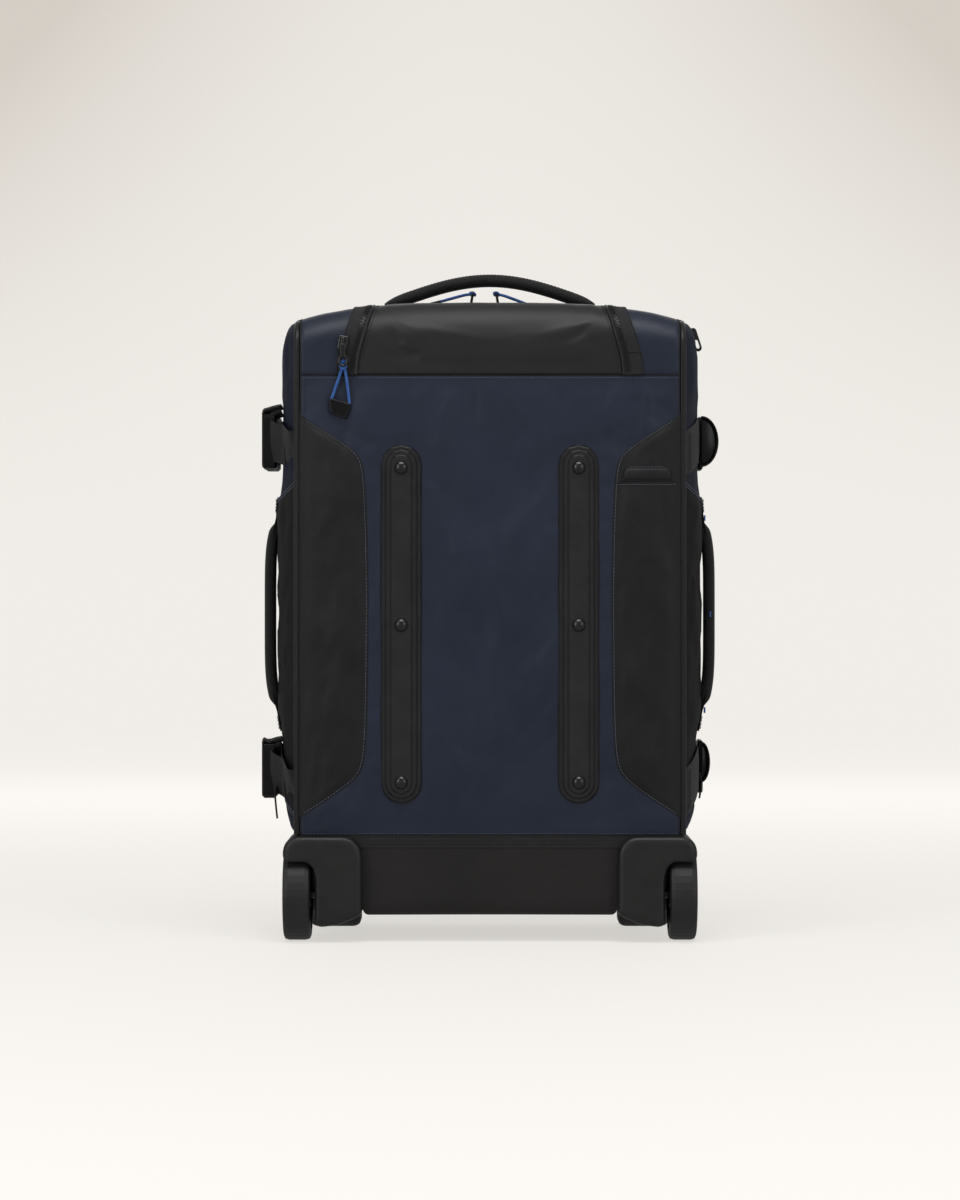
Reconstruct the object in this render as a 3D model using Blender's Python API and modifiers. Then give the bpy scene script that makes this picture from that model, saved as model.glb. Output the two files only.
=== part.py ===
"""A two-wheeled rolling duffel bag with a telescopic handle, built as separate named pieces.

+Z is up and the bag stands on its wheels and feet at Z = 0. The back, with the skid rails and the wheels,
faces -Y, and the lid faces +Y. Left and right are -X and +X. Lengths are in millimetres, scaled by MM.
"""

import math

import bmesh
import bpy
from mathutils import Matrix, Vector

MM = 0.001
GAP = 0.4  # clearance between pieces that touch

# Body
HALF_WIDTH = 166.0  # centre of the bag to the piping line
PANEL_HALF = 163.0  # centre to the edge of the back, top and front panels
BACK_Y, FRONT_Y = -98.0, 100.0
BASE_BOTTOM, BASE_TOP = 23.0, 92.0
COVER_SEAM_Z = 489.0
TOP_Z, TOP_RADIUS = 551.0, 28.0
TOP_DROP = 16.0  # how much lower the top is at its ends than at its middle
SKIN = 3.0
SIDE_BULGE = 17.0
SIDE_BOTTOM, SIDE_TOP = 94.0, TOP_Z - TOP_DROP - 3.0

# Lid
LID_HALF, LID_BOTTOM, LID_BACK_Y, LID_CORNER = 140.0, 131.0, 50.0, 55.0
LID_CROWN = 15.0
LID_GAP = 2.0
LID_HINGE = (0.0, 100.0, 130.0)

# Handle cover
COVER_HALF_LOW, COVER_HALF_HIGH, COVER_FRONT_Y = 117.0, 102.0, -54.0
COVER_GAP = 1.5
COVER_HINGE = (0.0, -97.5, 489.7)

# Wheels
WHEEL_R, WHEEL_IN, WHEEL_OUT = 40.0, 155.0, 178.5
WHEEL_Y, WHEEL_Z = -75.0, 40.0
WELL_R, WELL_IN = 44.5, 150.5
AXLE_R, HUB_R = 4.0, 30.7
HOUSING_IN, HOUSING_OUT, HOUSING_BACK, HOUSING_FRONT = 110.0, 178.5, -110.0, -22.0
HOUSING_LOW = 13.0

# Telescopic handle
TUBE_X, TUBE_Y = 55.0, -82.5
OUTER_TUBE, MIDDLE_TUBE, INNER_TUBE = (22.0, 16.0), (18.6, 12.6), (15.4, 9.4)
TUBE_WALL = 1.2
GRIP_HALF, GRIP_LOW, GRIP_HIGH, GRIP_DEPTH = 74.0, 500.0, 524.0, 20.0
BUTTON_HALF = 20.0
RECESS_HALF, RECESS_FRONT, RECESS_WALL = 98.0, -56.0, 1.6

# Skid rails and their screws
RAIL_X, RAIL_LOW, RAIL_HIGH = 76.5, 120.0, 428.5
RAIL_TIERS = ((17.25, 3.5), (13.4, 6.5), (9.2, 8.5))
SCREW_Z = (138.0, 273.5, 409.0)
SCREW_SHANK, SCREW_HEAD = 1.8, 4.8

# Webbing, buckles and carry handles
WEBBING, WEBBING_T = 38.0, 1.6
STRAP_Z = {"upper": 435.0, "lower": 146.0}
STRAP_DROP = {"upper": 9.0, "lower": 15.0}  # how much lower a strap meets the back than it lies at the buckle
STRAP_LEVEL_Y = -44.0  # behind this a strap slopes down
TAB_Y = -20.0
SIDE_REACH = 200.0  # centre to the outermost point at each side
HANDLE_FOOT, HANDLE_TOP = 555.0, 584.0

# Zip pulls
COVER_PULL_HINGE = (-126.5, -105.1, 516.2)
COVER_TILT = math.atan2(19.6, 56.0)  # how far the zip beside the handle cover leans from upright
TAG_TILT = math.radians(14)
CORD_R = 1.2
SIDE_PULL_TILT = math.radians(18)
SIDE_PULL_AT = (179.0, -25.0, 532.5)
SIDE_PULL_HINGE = (178.6, -25.0, 533.8)


def remove_everything():
    for old in list(bpy.data.objects):
        bpy.data.objects.remove(old)


def new_collection(name):
    made = bpy.data.collections.new(name)
    bpy.context.scene.collection.children.link(made)
    return made


def material(name, colour, roughness, metallic=0.0):
    made = bpy.data.materials.new(name)
    made.use_nodes = True
    shader = made.node_tree.nodes["Principled BSDF"]
    shader.inputs["Base Color"].default_value = (*colour, 1.0)
    shader.inputs["Roughness"].default_value = roughness
    shader.inputs["Metallic"].default_value = metallic
    return made


remove_everything()
PARTS = new_collection("rolling_duffel_bag")
CUTTERS = new_collection("cutters")
NAVY = material("navy_coated_fabric", (0.018, 0.024, 0.045), 0.45)
BLACK = material("black_coated_fabric", (0.017, 0.017, 0.018), 0.42)
PLASTIC = material("black_plastic", (0.014, 0.014, 0.014), 0.38)
RUBBER = material("wheel_rubber", (0.02, 0.021, 0.022), 0.5)
METAL = material("dark_aluminium", (0.25, 0.26, 0.28), 0.3, 1.0)
STEEL = material("black_steel", (0.05, 0.05, 0.05), 0.25, 1.0)
WEB = material("black_webbing", (0.012, 0.012, 0.012), 0.75)
CORD = material("blue_cord", (0.01, 0.08, 0.4), 0.6)


# ---------- Building blocks ----------


def finished(obj, collection, finish):
    collection.objects.link(obj)
    if finish:
        obj.data.materials.append(finish)
    return obj


def mesh_object(name, bm, finish, collection=None):
    mesh = bpy.data.meshes.new(name)
    bm.to_mesh(mesh)
    bm.free()
    mesh.shade_smooth()
    mesh.set_sharp_from_angle(angle=math.radians(35))
    return finished(bpy.data.objects.new(name, mesh), collection or PARTS, finish)


def block(name, low, high, finish, round_by=0.0, steps=2, collection=None):
    """A box between two corners, with rounded edges where round_by isn't 0."""
    low, high = Vector(low) * MM, Vector(high) * MM
    bm = bmesh.new()
    bmesh.ops.create_cube(bm, size=1.0)
    for vert in bm.verts:
        vert.co = Vector([(low[k] + high[k]) / 2 + vert.co[k] * (high[k] - low[k]) for k in range(3)])
    obj = mesh_object(name, bm, finish, collection)
    if round_by:
        add_bevel(obj, round_by, steps)
    return obj


def add_bevel(obj, width, steps=2):
    bevel = obj.modifiers.new("rounded", "BEVEL")
    bevel.width = width * MM
    bevel.segments = steps
    bevel.limit_method = "ANGLE"
    bevel.angle_limit = math.radians(40)


def rod(name, radius, start, end, finish, sides=16, collection=None):
    """A cylinder from one point to another."""
    start, end, r = Vector(start) * MM, Vector(end) * MM, radius * MM
    bm = bmesh.new()
    bmesh.ops.create_cone(bm, cap_ends=True, segments=sides, radius1=r, radius2=r, depth=(end - start).length)
    obj = mesh_object(name, bm, finish, collection)
    obj.location = (start + end) / 2
    obj.rotation_euler = (end - start).to_track_quat("Z", "Y").to_euler()
    return obj


def turned(name, profile, centre, direction, finish, steps=24, collection=None):
    """A profile of (radius, distance along the axis) turned about the axis through centre along direction."""
    bm = bmesh.new()
    verts = [bm.verts.new((r * MM, 0.0, d * MM)) for r, d in profile]
    closed = profile[0][0] > 0
    for a, b in zip(verts, verts[1:] + verts[:1] if closed else verts[1:]):
        bm.edges.new((a, b))
    obj = mesh_object(name, bm, finish, collection)
    screw = obj.modifiers.new("turned", "SCREW")
    screw.steps = screw.render_steps = steps
    screw.use_merge_vertices = True
    screw.merge_threshold = 0.00005
    screw.use_smooth_shade = True
    obj.location = Vector(centre) * MM
    obj.rotation_euler = Vector(direction).to_track_quat("Z", "Y").to_euler()
    return obj


FACING = {  # how a flat outline is stood up: outline x and y become these two axes
    "XY": (0.0, 0.0, 0.0),
    "XZ": (math.pi / 2, 0.0, 0.0),
    "YZ": (math.pi / 2, 0.0, math.pi / 2),
}
MIDDLE = {"XY": 2, "XZ": 1, "YZ": 0}  # the axis that the thickness runs along


def plate(name, outline, plane, low, high, finish, round_by=0.0, steps=1, collection=None):
    """A flat outline made thick between two positions on the axis across its plane, with rounded rims."""
    bm = bmesh.new()
    face = bm.faces.new([bm.verts.new((x * MM, y * MM, (low - high) / 2 * MM)) for x, y in outline])
    grown = bmesh.ops.extrude_face_region(bm, geom=[face])["geom"]
    top = [item for item in grown if isinstance(item, bmesh.types.BMVert)]
    bmesh.ops.translate(bm, verts=top, vec=(0.0, 0.0, (high - low) * MM))
    bmesh.ops.recalc_face_normals(bm, faces=bm.faces)
    obj = mesh_object(name, bm, finish, collection)
    obj.location[MIDDLE[plane]] = (low + high) / 2 * MM
    obj.rotation_euler = FACING[plane]
    if round_by:
        add_bevel(obj, round_by, steps)
    return obj


def set_origin(obj, point):
    """Moves an object's origin onto its joint's axis, and leaves its shape where it is."""
    target = Vector(point) * MM
    obj.data.transform(Matrix.Translation(-(obj.matrix_basis.inverted() @ target)))
    obj.location = target
    return obj


def tube(name, points, radius, finish, resolution=2):
    """A round cord or rod along points."""
    curve = bpy.data.curves.new(name, "CURVE")
    curve.dimensions = "3D"
    curve.bevel_depth = radius * MM
    curve.bevel_resolution = resolution
    curve.use_fill_caps = True
    spline = curve.splines.new("POLY")
    spline.points.add(len(points) - 1)
    for point, place in zip(spline.points, points):
        point.co = (*(Vector(place) * MM), 1.0)
    return finished(bpy.data.objects.new(name, curve), PARTS, finish)


def sheet(name, columns, rows, place, outward, thickness, finish, collection=None, both_ways=False):
    """A grid laid out by place(u, v), u and v from -1 to 1, on the outer surface, and thickened inwards."""
    bm = bmesh.new()
    bmesh.ops.create_grid(bm, x_segments=columns, y_segments=rows, size=1.0)
    for vert in bm.verts:
        vert.co = Vector(place(vert.co.x, vert.co.y)) * MM
    bm.normal_update()
    if sum((face.normal * face.calc_area() for face in bm.faces), Vector()).dot(Vector(outward)) < 0:
        bmesh.ops.reverse_faces(bm, faces=bm.faces)
    obj = mesh_object(name, bm, finish, collection)
    solid = obj.modifiers.new("thickness", "SOLIDIFY")
    solid.thickness = thickness * MM
    solid.offset = 0.0 if both_ways else -1.0
    solid.use_even_offset = not both_ways
    return obj


def boolean(obj, other, operation):
    step = obj.modifiers.new(operation.lower(), "BOOLEAN")
    step.operation = operation
    step.object = other
    other.hide_render = True
    other.display_type = "WIRE"
    return obj


def cut(obj, *cutters):
    for cutter in cutters:
        boolean(obj, cutter, "DIFFERENCE")
    return obj


def joined(obj, *others):
    for other in others:
        boolean(obj, other, "UNION")
    return obj


def cutter_block(name, low, high, round_by=0.0):
    return block(name, low, high, None, round_by, collection=CUTTERS)


def cutter_rod(name, radius, start, end, sides=16):
    return rod(name, radius, start, end, None, sides, collection=CUTTERS)


def arc(centre, radius, start, end, steps):
    """Points on an arc, angles in degrees, both ends included."""
    angles = [math.radians(start + (end - start) * k / steps) for k in range(steps + 1)]
    return [(centre[0] + radius * math.cos(a), centre[1] + radius * math.sin(a)) for a in angles]


def rounded_rectangle(low, high, radius, steps=4):
    (x0, y0), (x1, y1), r = low, high, radius
    return (
        arc((x1 - r, y1 - r), r, 0, 90, steps)
        + arc((x0 + r, y1 - r), r, 90, 180, steps)
        + arc((x0 + r, y0 + r), r, 180, 270, steps)
        + arc((x1 - r, y0 + r), r, 270, 360, steps)
    )


def smooth(value):
    value = min(1.0, max(0.0, value))
    return value * value * (3 - 2 * value)


# ---------- The soft body ----------

HOOP_UP = TOP_Z - TOP_RADIUS - COVER_SEAM_Z
HOOP_ARC = TOP_RADIUS * math.pi / 2
HOOP_TOP = FRONT_Y - BACK_Y - 2 * TOP_RADIUS
FRONT_ARC_END = HOOP_UP + 2 * HOOP_ARC + HOOP_TOP


def hoop(distance, x):
    """The outer surface over the bag's top, from the cover's seam up the back, over and down the front.

    distance is measured round the hoop, and x across the bag. The top sinks towards both ends.
    """
    d = distance
    if d < HOOP_UP:
        y, z = BACK_Y, COVER_SEAM_Z + d
    elif d < HOOP_UP + HOOP_ARC:
        turn = (d - HOOP_UP) / TOP_RADIUS
        y = BACK_Y + TOP_RADIUS * (1 - math.cos(turn))
        z = TOP_Z - TOP_RADIUS * (1 - math.sin(turn))
    elif d < HOOP_UP + HOOP_ARC + HOOP_TOP:
        y, z = BACK_Y + TOP_RADIUS + d - HOOP_UP - HOOP_ARC, TOP_Z
    elif d < FRONT_ARC_END:
        turn = (d - HOOP_UP - HOOP_ARC - HOOP_TOP) / TOP_RADIUS
        y = FRONT_Y - TOP_RADIUS * (1 - math.sin(turn))
        z = TOP_Z - TOP_RADIUS * (1 - math.cos(turn))
    else:
        y, z = FRONT_Y, TOP_Z - TOP_RADIUS - (d - FRONT_ARC_END)
    sink = TOP_DROP * (abs(x) / HALF_WIDTH) ** 4 * smooth((z - COVER_SEAM_Z) / (TOP_Z - COVER_SEAM_Z))
    return x, y, z - sink


def hoop_distance_on_top(y):
    return HOOP_UP + HOOP_ARC + y - BACK_Y - TOP_RADIUS


def stations(stops):
    """Turns [(distance, steps to the next), ...] into a function of -1..1, and its row count."""
    values = []
    for (start, steps), (end, _) in zip(stops, stops[1:]):
        values += [start + (end - start) * k / steps for k in range(steps)]
    values.append(stops[-1][0])
    return (lambda v: values[round((v + 1) / 2 * (len(values) - 1))]), len(values) - 1


def lid_place(grow, most_crown):
    """The lid's outer surface, grown at its rim by grow, and padded out by most_crown at its middle."""
    end = LID_BACK_Y - grow
    start = FRONT_ARC_END + TOP_Z - TOP_RADIUS - LID_BOTTOM + grow
    finish = hoop_distance_on_top(end)
    arc_start = hoop_distance_on_top(FRONT_Y - TOP_RADIUS)
    corner = finish + LID_CORNER + grow
    stops = [(finish, 3), (finish + 8, 3), (arc_start, 5), (corner, 2), (FRONT_ARC_END, 14), (start, 0)]
    distance_at, rows = stations(stops)

    def place(u, v):
        d = distance_at(v)
        from_end = d - finish
        corner = LID_CORNER + grow
        narrow = 0.0
        if from_end < corner:
            narrow = corner - math.sqrt(max(0.0, corner**2 - (corner - from_end) ** 2))
        x = u * (LID_HALF + grow - narrow)
        x, y, z = hoop(d, x)
        height = (z - (LID_BOTTOM + TOP_Z) / 2) / ((TOP_Z - LID_BOTTOM) / 2)
        crown = most_crown * (1 - u**2) ** 0.7 * max(0.0, 1 - height**2) ** 0.7
        return x, y + (crown if d > FRONT_ARC_END else 0.0), z
    return place, rows


def cover_place(grow):
    """The handle cover's outer surface, grown at its rim by grow."""
    finish = hoop_distance_on_top(COVER_FRONT_Y + grow)
    stops = [(1.5 - grow, 2), (HOOP_UP, 5), (HOOP_UP + HOOP_ARC, 2), (finish, 0)]
    distance_at, rows = stations(stops)

    def place(u, v):
        d = distance_at(v)
        half = COVER_HALF_LOW + (COVER_HALF_HIGH - COVER_HALF_LOW) * smooth(d / (HOOP_UP + HOOP_ARC))
        return hoop(d, u * (half + grow))
    return place, rows


def side_place(side):
    """The outer surface of an end panel, a pillow inside the piping line, and its number of rows."""
    rim = -(BACK_Y + 5.5)
    arc_low = TOP_Z - TOP_DROP - TOP_RADIUS
    height_at, rows = stations([(SIDE_BOTTOM, 4), (SIDE_BOTTOM + 26, 9), (arc_low, 7), (SIDE_TOP, 0)])

    def place(u, v):
        z = height_at(v)
        half = rim
        if z > arc_low:
            half -= TOP_RADIUS - math.sqrt(TOP_RADIUS**2 - (z - arc_low) ** 2)
        return side * (HALF_WIDTH + side_bulge(u, z)), u * half, z
    return place, rows


def side_bulge(across, z):
    """How far an end panel stands out of the piping line, across its depth (-1 to 1) and up its height."""
    up = (z - SIDE_BOTTOM) / (SIDE_TOP - SIDE_BOTTOM) * 2 - 1
    return SIDE_BULGE * (1 - abs(across) ** 2.4) ** 0.8 * max(0.0, 1 - abs(up) ** 12) ** 0.4


def side_surface_x(y, z):
    """How far out the end panel's surface is at a depth and height."""
    return HALF_WIDTH + side_bulge(min(1.0, abs(y) / -(BACK_Y + 5.5)), z)


def soft_body():
    lid_shape, lid_rows = lid_place(0.0, LID_CROWN)
    lid = sheet("lid", 14, lid_rows, lid_shape, (0, 1, 1), SKIN, NAVY)
    set_origin(lid, LID_HINGE)
    hole_shape, hole_rows = lid_place(LID_GAP, 0.0)
    lid_hole = sheet("lid_hole", 14, hole_rows, hole_shape, (0, 1, 1), 30.0, None, CUTTERS, both_ways=True)
    cover_shape, cover_rows = cover_place(0.0)
    cover = sheet("handle_cover", 10, cover_rows, cover_shape, (0, -1, 1), SKIN, BLACK)
    set_origin(cover, COVER_HINGE)
    gap_shape, gap_rows = cover_place(COVER_GAP)
    cover_hole = sheet("cover_hole", 10, gap_rows, gap_shape, (0, -1, 1), 12.0, None, CUTTERS, both_ways=True)

    back_arc_end = HOOP_UP + HOOP_ARC
    stops = [(1.0, 2), (HOOP_UP, 5), (back_arc_end, 4), (back_arc_end + HOOP_TOP, 5), (FRONT_ARC_END, 0)]
    distance_at, rows = stations(stops)

    def top_shape(u, v):
        return hoop(distance_at(v), u * PANEL_HALF)

    top = sheet("top_panel", 14, rows, top_shape, (0, 0, 1), SKIN, NAVY)
    cut(top, cover_hole, lid_hole)

    back = block(
        "back_panel", (-PANEL_HALF, BACK_Y, BASE_TOP + 0.5), (PANEL_HALF, BACK_Y + SKIN, COVER_SEAM_Z), NAVY
    )
    front = block(
        "front_frame",
        (-PANEL_HALF, FRONT_Y - SKIN, BASE_TOP + 0.5),
        (PANEL_HALF, FRONT_Y, TOP_Z - TOP_RADIUS - TOP_DROP - 1.0),
        NAVY,
    )
    cut(front, lid_hole)
    for side, word in ((-1, "left"), (1, "right")):
        shape, rows = side_place(side)
        sheet(f"side_panel_{word}", 10, rows, shape, (side, 0, 0), SKIN, BLACK)
    return back


def base_tray():
    wall, notch = 3.5, HOUSING_IN - 1.0

    def outline(inset):
        x, n = 170.0 - inset, notch - inset
        back, front, step = BACK_Y + inset, FRONT_Y - 2 - inset, HOUSING_FRONT + 1.0 + inset
        right = [(n, back), (n, step), (x, step)] + arc((x - 14, front - 14), 14, 0, 90, 3)
        return right + [(-px, py) for px, py in reversed(right)]
    tray = plate("base_tray", outline(0.0), "XY", BASE_BOTTOM, BASE_TOP, BLACK)
    inside = outline(wall)
    hollow = plate("tray_hollow", inside, "XY", BASE_BOTTOM + wall, BASE_TOP + 10, None, collection=CUTTERS)
    return cut(tray, hollow)


def frame_board(back):
    board = block("frame_board", (-100, -94.4, 96), (100, -92.2, 487), PLASTIC)
    shelf = block("board_shelf", (-72, -93.4, 96), (72, -72, 103), PLASTIC, collection=CUTTERS)
    joined(board, shelf)
    for side in (-1, 1):
        for number, z in enumerate(SCREW_Z):
            start, end = (side * RAIL_X, -112, z), (side * RAIL_X, -85, z)
            hole = cutter_rod(f"screw_hole_{side}_{number}", SCREW_SHANK + 0.4, start, end, 10)
            cut(board, hole)
            cut(back, hole)


# ---------- Skid rails ----------


def stadium(half_width, low, high, steps=6):
    bottom, top = low + half_width, high - half_width
    return arc((0, top), half_width, 0, 180, steps) + arc((0, bottom), half_width, 180, 360, steps)


def skid_rails():
    widest = RAIL_TIERS[0][0]
    for side, word in ((-1, "left"), (1, "right")):
        tiers = []
        for number, (half, height) in enumerate(RAIL_TIERS):
            trim = widest - half
            outline = [(x + side * RAIL_X, z) for x, z in stadium(half, RAIL_LOW + trim, RAIL_HIGH - trim)]
            name = f"skid_rail_{word}" if number == 0 else f"rail_tier_{word}_{number}"
            low = BACK_Y - height
            high = BACK_Y - GAP if number == 0 else BACK_Y - GAP - 1.0
            where = PARTS if number == 0 else CUTTERS
            tiers.append(plate(name, outline, "XZ", low, high, PLASTIC, 1.1, collection=where))
        rail = joined(tiers[0], *tiers[1:])
        for number, z in enumerate(SCREW_Z, 1):
            start, end = (side * RAIL_X, -120, z), (side * RAIL_X, -90, z)
            hole = cutter_rod(f"rail_hole_{word}_{number}", SCREW_SHANK + 0.4, start, end, 10)
            cut(rail, hole)
            face = BACK_Y - RAIL_TIERS[-1][1]
            head, shank, tip = SCREW_HEAD, SCREW_SHANK, 18.0
            dome = [(0, 3.0), (head * 0.55, 2.6), (head * 0.9, 1.5), (head, GAP)]
            profile = dome + [(shank, GAP), (shank, -tip), (0, -tip)]
            turned(f"rail_screw_{word}_{number}", profile, (side * RAIL_X, face, z), (0, -1, 0), STEEL, 12)


# ---------- Wheels, housings and feet ----------


def wheel_housing(side, word):
    low, bend = HOUSING_LOW, 17.0
    rounds = arc((HOUSING_IN + bend, BASE_TOP - bend - 0.4), bend, 180, 90, 5)
    outer = arc((HOUSING_OUT - 13, BASE_TOP - 13.4), 13, 90, 0, 4)
    bottom = [(HOUSING_OUT, 45.0), (WELL_IN - 2, low), (130.0, 15.0), (HOUSING_IN, 23.5)]
    outline = [(side * x, z) for x, z in rounds + outer + bottom]
    housing = plate(f"wheel_housing_{word}", outline, "XZ", HOUSING_BACK, HOUSING_FRONT, PLASTIC, 4.0, 2)
    reach = HOUSING_OUT + 20
    arch = arc((WHEEL_Y, WHEEL_Z), WELL_R, 0, 180, 16)
    arch += [(WHEEL_Y - WELL_R, -20), (WHEEL_Y + WELL_R, -20)]
    span = sorted((side * WELL_IN, side * reach))
    well = plate(f"well_{word}", arch, "YZ", *span, None, 9.0, 3, CUTTERS)
    start, end = (side * 128, WHEEL_Y, WHEEL_Z), (side * 160, WHEEL_Y, WHEEL_Z)
    bore = cutter_rod(f"axle_bore_{word}", AXLE_R + 0.3, start, end, 16)
    xs = sorted((side * (HOUSING_IN + 5), side * (WELL_IN - 12)))
    low_corner, high_corner = (xs[0], HOUSING_BACK + 6, 30), (xs[1], HOUSING_FRONT + 20, 82)
    hollow = cutter_block(f"housing_hollow_{word}", low_corner, high_corner, 4.0)
    return cut(housing, well, bore, hollow)


def wheel(side, word):
    inner, outer, edge = WHEEL_IN, WHEEL_OUT, 3.5
    ring = HUB_R + 0.35
    width = outer - inner
    profile = [
        (ring, width),
        (WHEEL_R - edge, width),
        (WHEEL_R - 1.0, width - 1.2),
        (WHEEL_R, width - edge - 1),
        (WHEEL_R, edge + 1),
        (WHEEL_R - 1.0, 1.2),
        (WHEEL_R - edge, 0),
        (ring, 0),
    ]
    turned(f"tyre_{word}", profile, (side * inner, WHEEL_Y, WHEEL_Z), (side, 0, 0), RUBBER, 40)
    bore = AXLE_R + 0.3
    boss = [(bore, width - 3), (11.0, width - 3)]
    outer_face = boss + [(12.5, width - 7), (24.0, width - 7), (26.0, width - 1)]
    inner_face = [(26.0, 1), (24.0, 6), (12.5, 6), (11.0, 0.5), (bore, 0.5)]
    profile = outer_face + [(HUB_R, width - 1), (HUB_R, 1)] + inner_face
    turned(f"wheel_hub_{word}", profile, (side * inner, WHEEL_Y, WHEEL_Z), (side, 0, 0), PLASTIC, 32)
    head = outer - 3 + GAP
    profile = [(0, head + 2.6), (5.5, head + 2.2), (7.0, head), (AXLE_R, head), (AXLE_R, 130.0), (0, 130.0)]
    turned(f"axle_{word}", profile, (0, WHEEL_Y, WHEEL_Z), (side, 0, 0), STEEL, 16)


def foot(side, word):
    xs = sorted((side * 116, side * 162))
    block(f"foot_{word}", (xs[0], 52, 0), (xs[1], 92, BASE_BOTTOM - GAP), RUBBER, 6.0, 3)


# ---------- Telescopic handle ----------


def rectangle_at(x, y, size, radius=2.0):
    w, d = size[0] / 2, size[1] / 2
    return rounded_rectangle((x - w, y - d), (x + w, y + d), radius, 2)


def hollow_tube(name, x, size, low, high, finish):
    outer = plate(name, rectangle_at(x, TUBE_Y, size), "XY", low, high, finish)
    hole = (size[0] - 2 * TUBE_WALL, size[1] - 2 * TUBE_WALL)
    inner_shape = rectangle_at(x, TUBE_Y, hole, 1.2)
    inner = plate(f"{name}_hole", inner_shape, "XY", low - 5, high + 5, None, collection=CUTTERS)
    cut(outer, inner)
    return set_origin(outer, (x, TUBE_Y, low))


def telescopic_handle():
    half, back, front = RECESS_HALF, -93.4, RECESS_FRONT
    floor = [(-half, back), (half, back), (half, front), (-half, front)]
    recess = plate("handle_recess", floor, "XY", 489.4, 528.0, PLASTIC)
    half, front = half - RECESS_WALL, front - RECESS_WALL
    inside = cutter_block("recess_inside", (-half, -110, 496.2), (half, front, 560))
    cut(recess, inside)
    for side, word in ((-1, "left"), (1, "right")):
        x = side * TUBE_X
        hollow_tube(f"outer_tube_{word}", x, OUTER_TUBE, 103.4, 495.0, METAL)
        hollow_tube(f"middle_tube_{word}", x, MIDDLE_TUBE, 106.0, 497.5, METAL)
        hollow_tube(f"inner_tube_{word}", x, INNER_TUBE, 109.0, 504.5, METAL)
        seat = (OUTER_TUBE[0] + 2 * GAP, OUTER_TUBE[1] + 2 * GAP)
        hole_shape = rectangle_at(x, TUBE_Y, seat)
        hole = plate(f"recess_hole_{word}", hole_shape, "XY", 480, 500, None, collection=CUTTERS)
        cut(recess, hole)
    grip()


def grip():
    depth = GRIP_DEPTH / 2
    shape = rounded_rectangle((-GRIP_HALF, GRIP_LOW), (GRIP_HALF, GRIP_HIGH), 10.0, 4)
    handle = plate("grip", shape, "XZ", TUBE_Y - depth, TUBE_Y + depth, PLASTIC, 4.0, 2)
    reach, wide = TUBE_X + 3.4, BUTTON_HALF + GAP
    channel = cutter_block("grip_channel", (-reach, TUBE_Y - 3.2, 505), (reach, TUBE_Y + 3.2, 514.5))
    slot = cutter_block("button_slot", (-wide, TUBE_Y - 5.4, 508.0), (wide, TUBE_Y + 5.4, 530))
    cut(handle, channel, slot)
    for side in (-1, 1):
        size = (INNER_TUBE[0] + 2 * GAP, INNER_TUBE[1] + 2 * GAP)
        socket_shape = rectangle_at(side * TUBE_X, TUBE_Y, size)
        cut(handle, plate(f"tube_socket_{side}", socket_shape, "XY", 490, 505.2, None, collection=CUTTERS))
    set_origin(handle, (0, TUBE_Y, GRIP_LOW))
    low_corner, high_corner = (-BUTTON_HALF, TUBE_Y - 5, 513.4), (BUTTON_HALF, TUBE_Y + 5, GRIP_HIGH + 1.6)
    set_origin(block("release_button", low_corner, high_corner, PLASTIC, 1.6), (0, TUBE_Y, GRIP_HIGH))
    leg = 2.0
    points = [(-TUBE_X, TUBE_Y, 120), (-TUBE_X, TUBE_Y, 509.0), (-TUBE_X + 2, TUBE_Y, 511.0)]
    points += [(-x, y, z) for x, y, z in reversed(points)]
    set_origin(tube("release_yoke", points, leg, STEEL, 1), (0, TUBE_Y, GRIP_HIGH))


# ---------- Straps, buckles and carry handles ----------


def strap_place(side, level, lift):
    """A compression strap's outer surface: level along the end panel, and sloping down to the back."""
    def place(u, v):
        y = u * -(BACK_Y + 8)
        slope = min(1.0, max(0.0, (STRAP_LEVEL_Y - y) / (STRAP_LEVEL_Y - BACK_Y - 8)))
        z = STRAP_Z[level] - STRAP_DROP[level] * slope + v * WEBBING / 2
        return side * (side_surface_x(y, z) + lift), y, z
    return place


def compression_straps():
    for side, side_word in ((-1, "left"), (1, "right")):
        for level, z in STRAP_Z.items():
            name = f"strap_{side_word}_{level}"
            sheet(name, 14, 2, strap_place(side, level, 0.8 + WEBBING_T), (side, 0, 0), WEBBING_T, WEB)
            if side > 0:
                adjuster(level, z)
            else:
                buckle(level, z)


BUCKLE_IN, BUCKLE_BACK, BUCKLE_SPLIT, BUCKLE_FRONT = 187.0, -44.0, -2.0, 30.0


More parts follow.
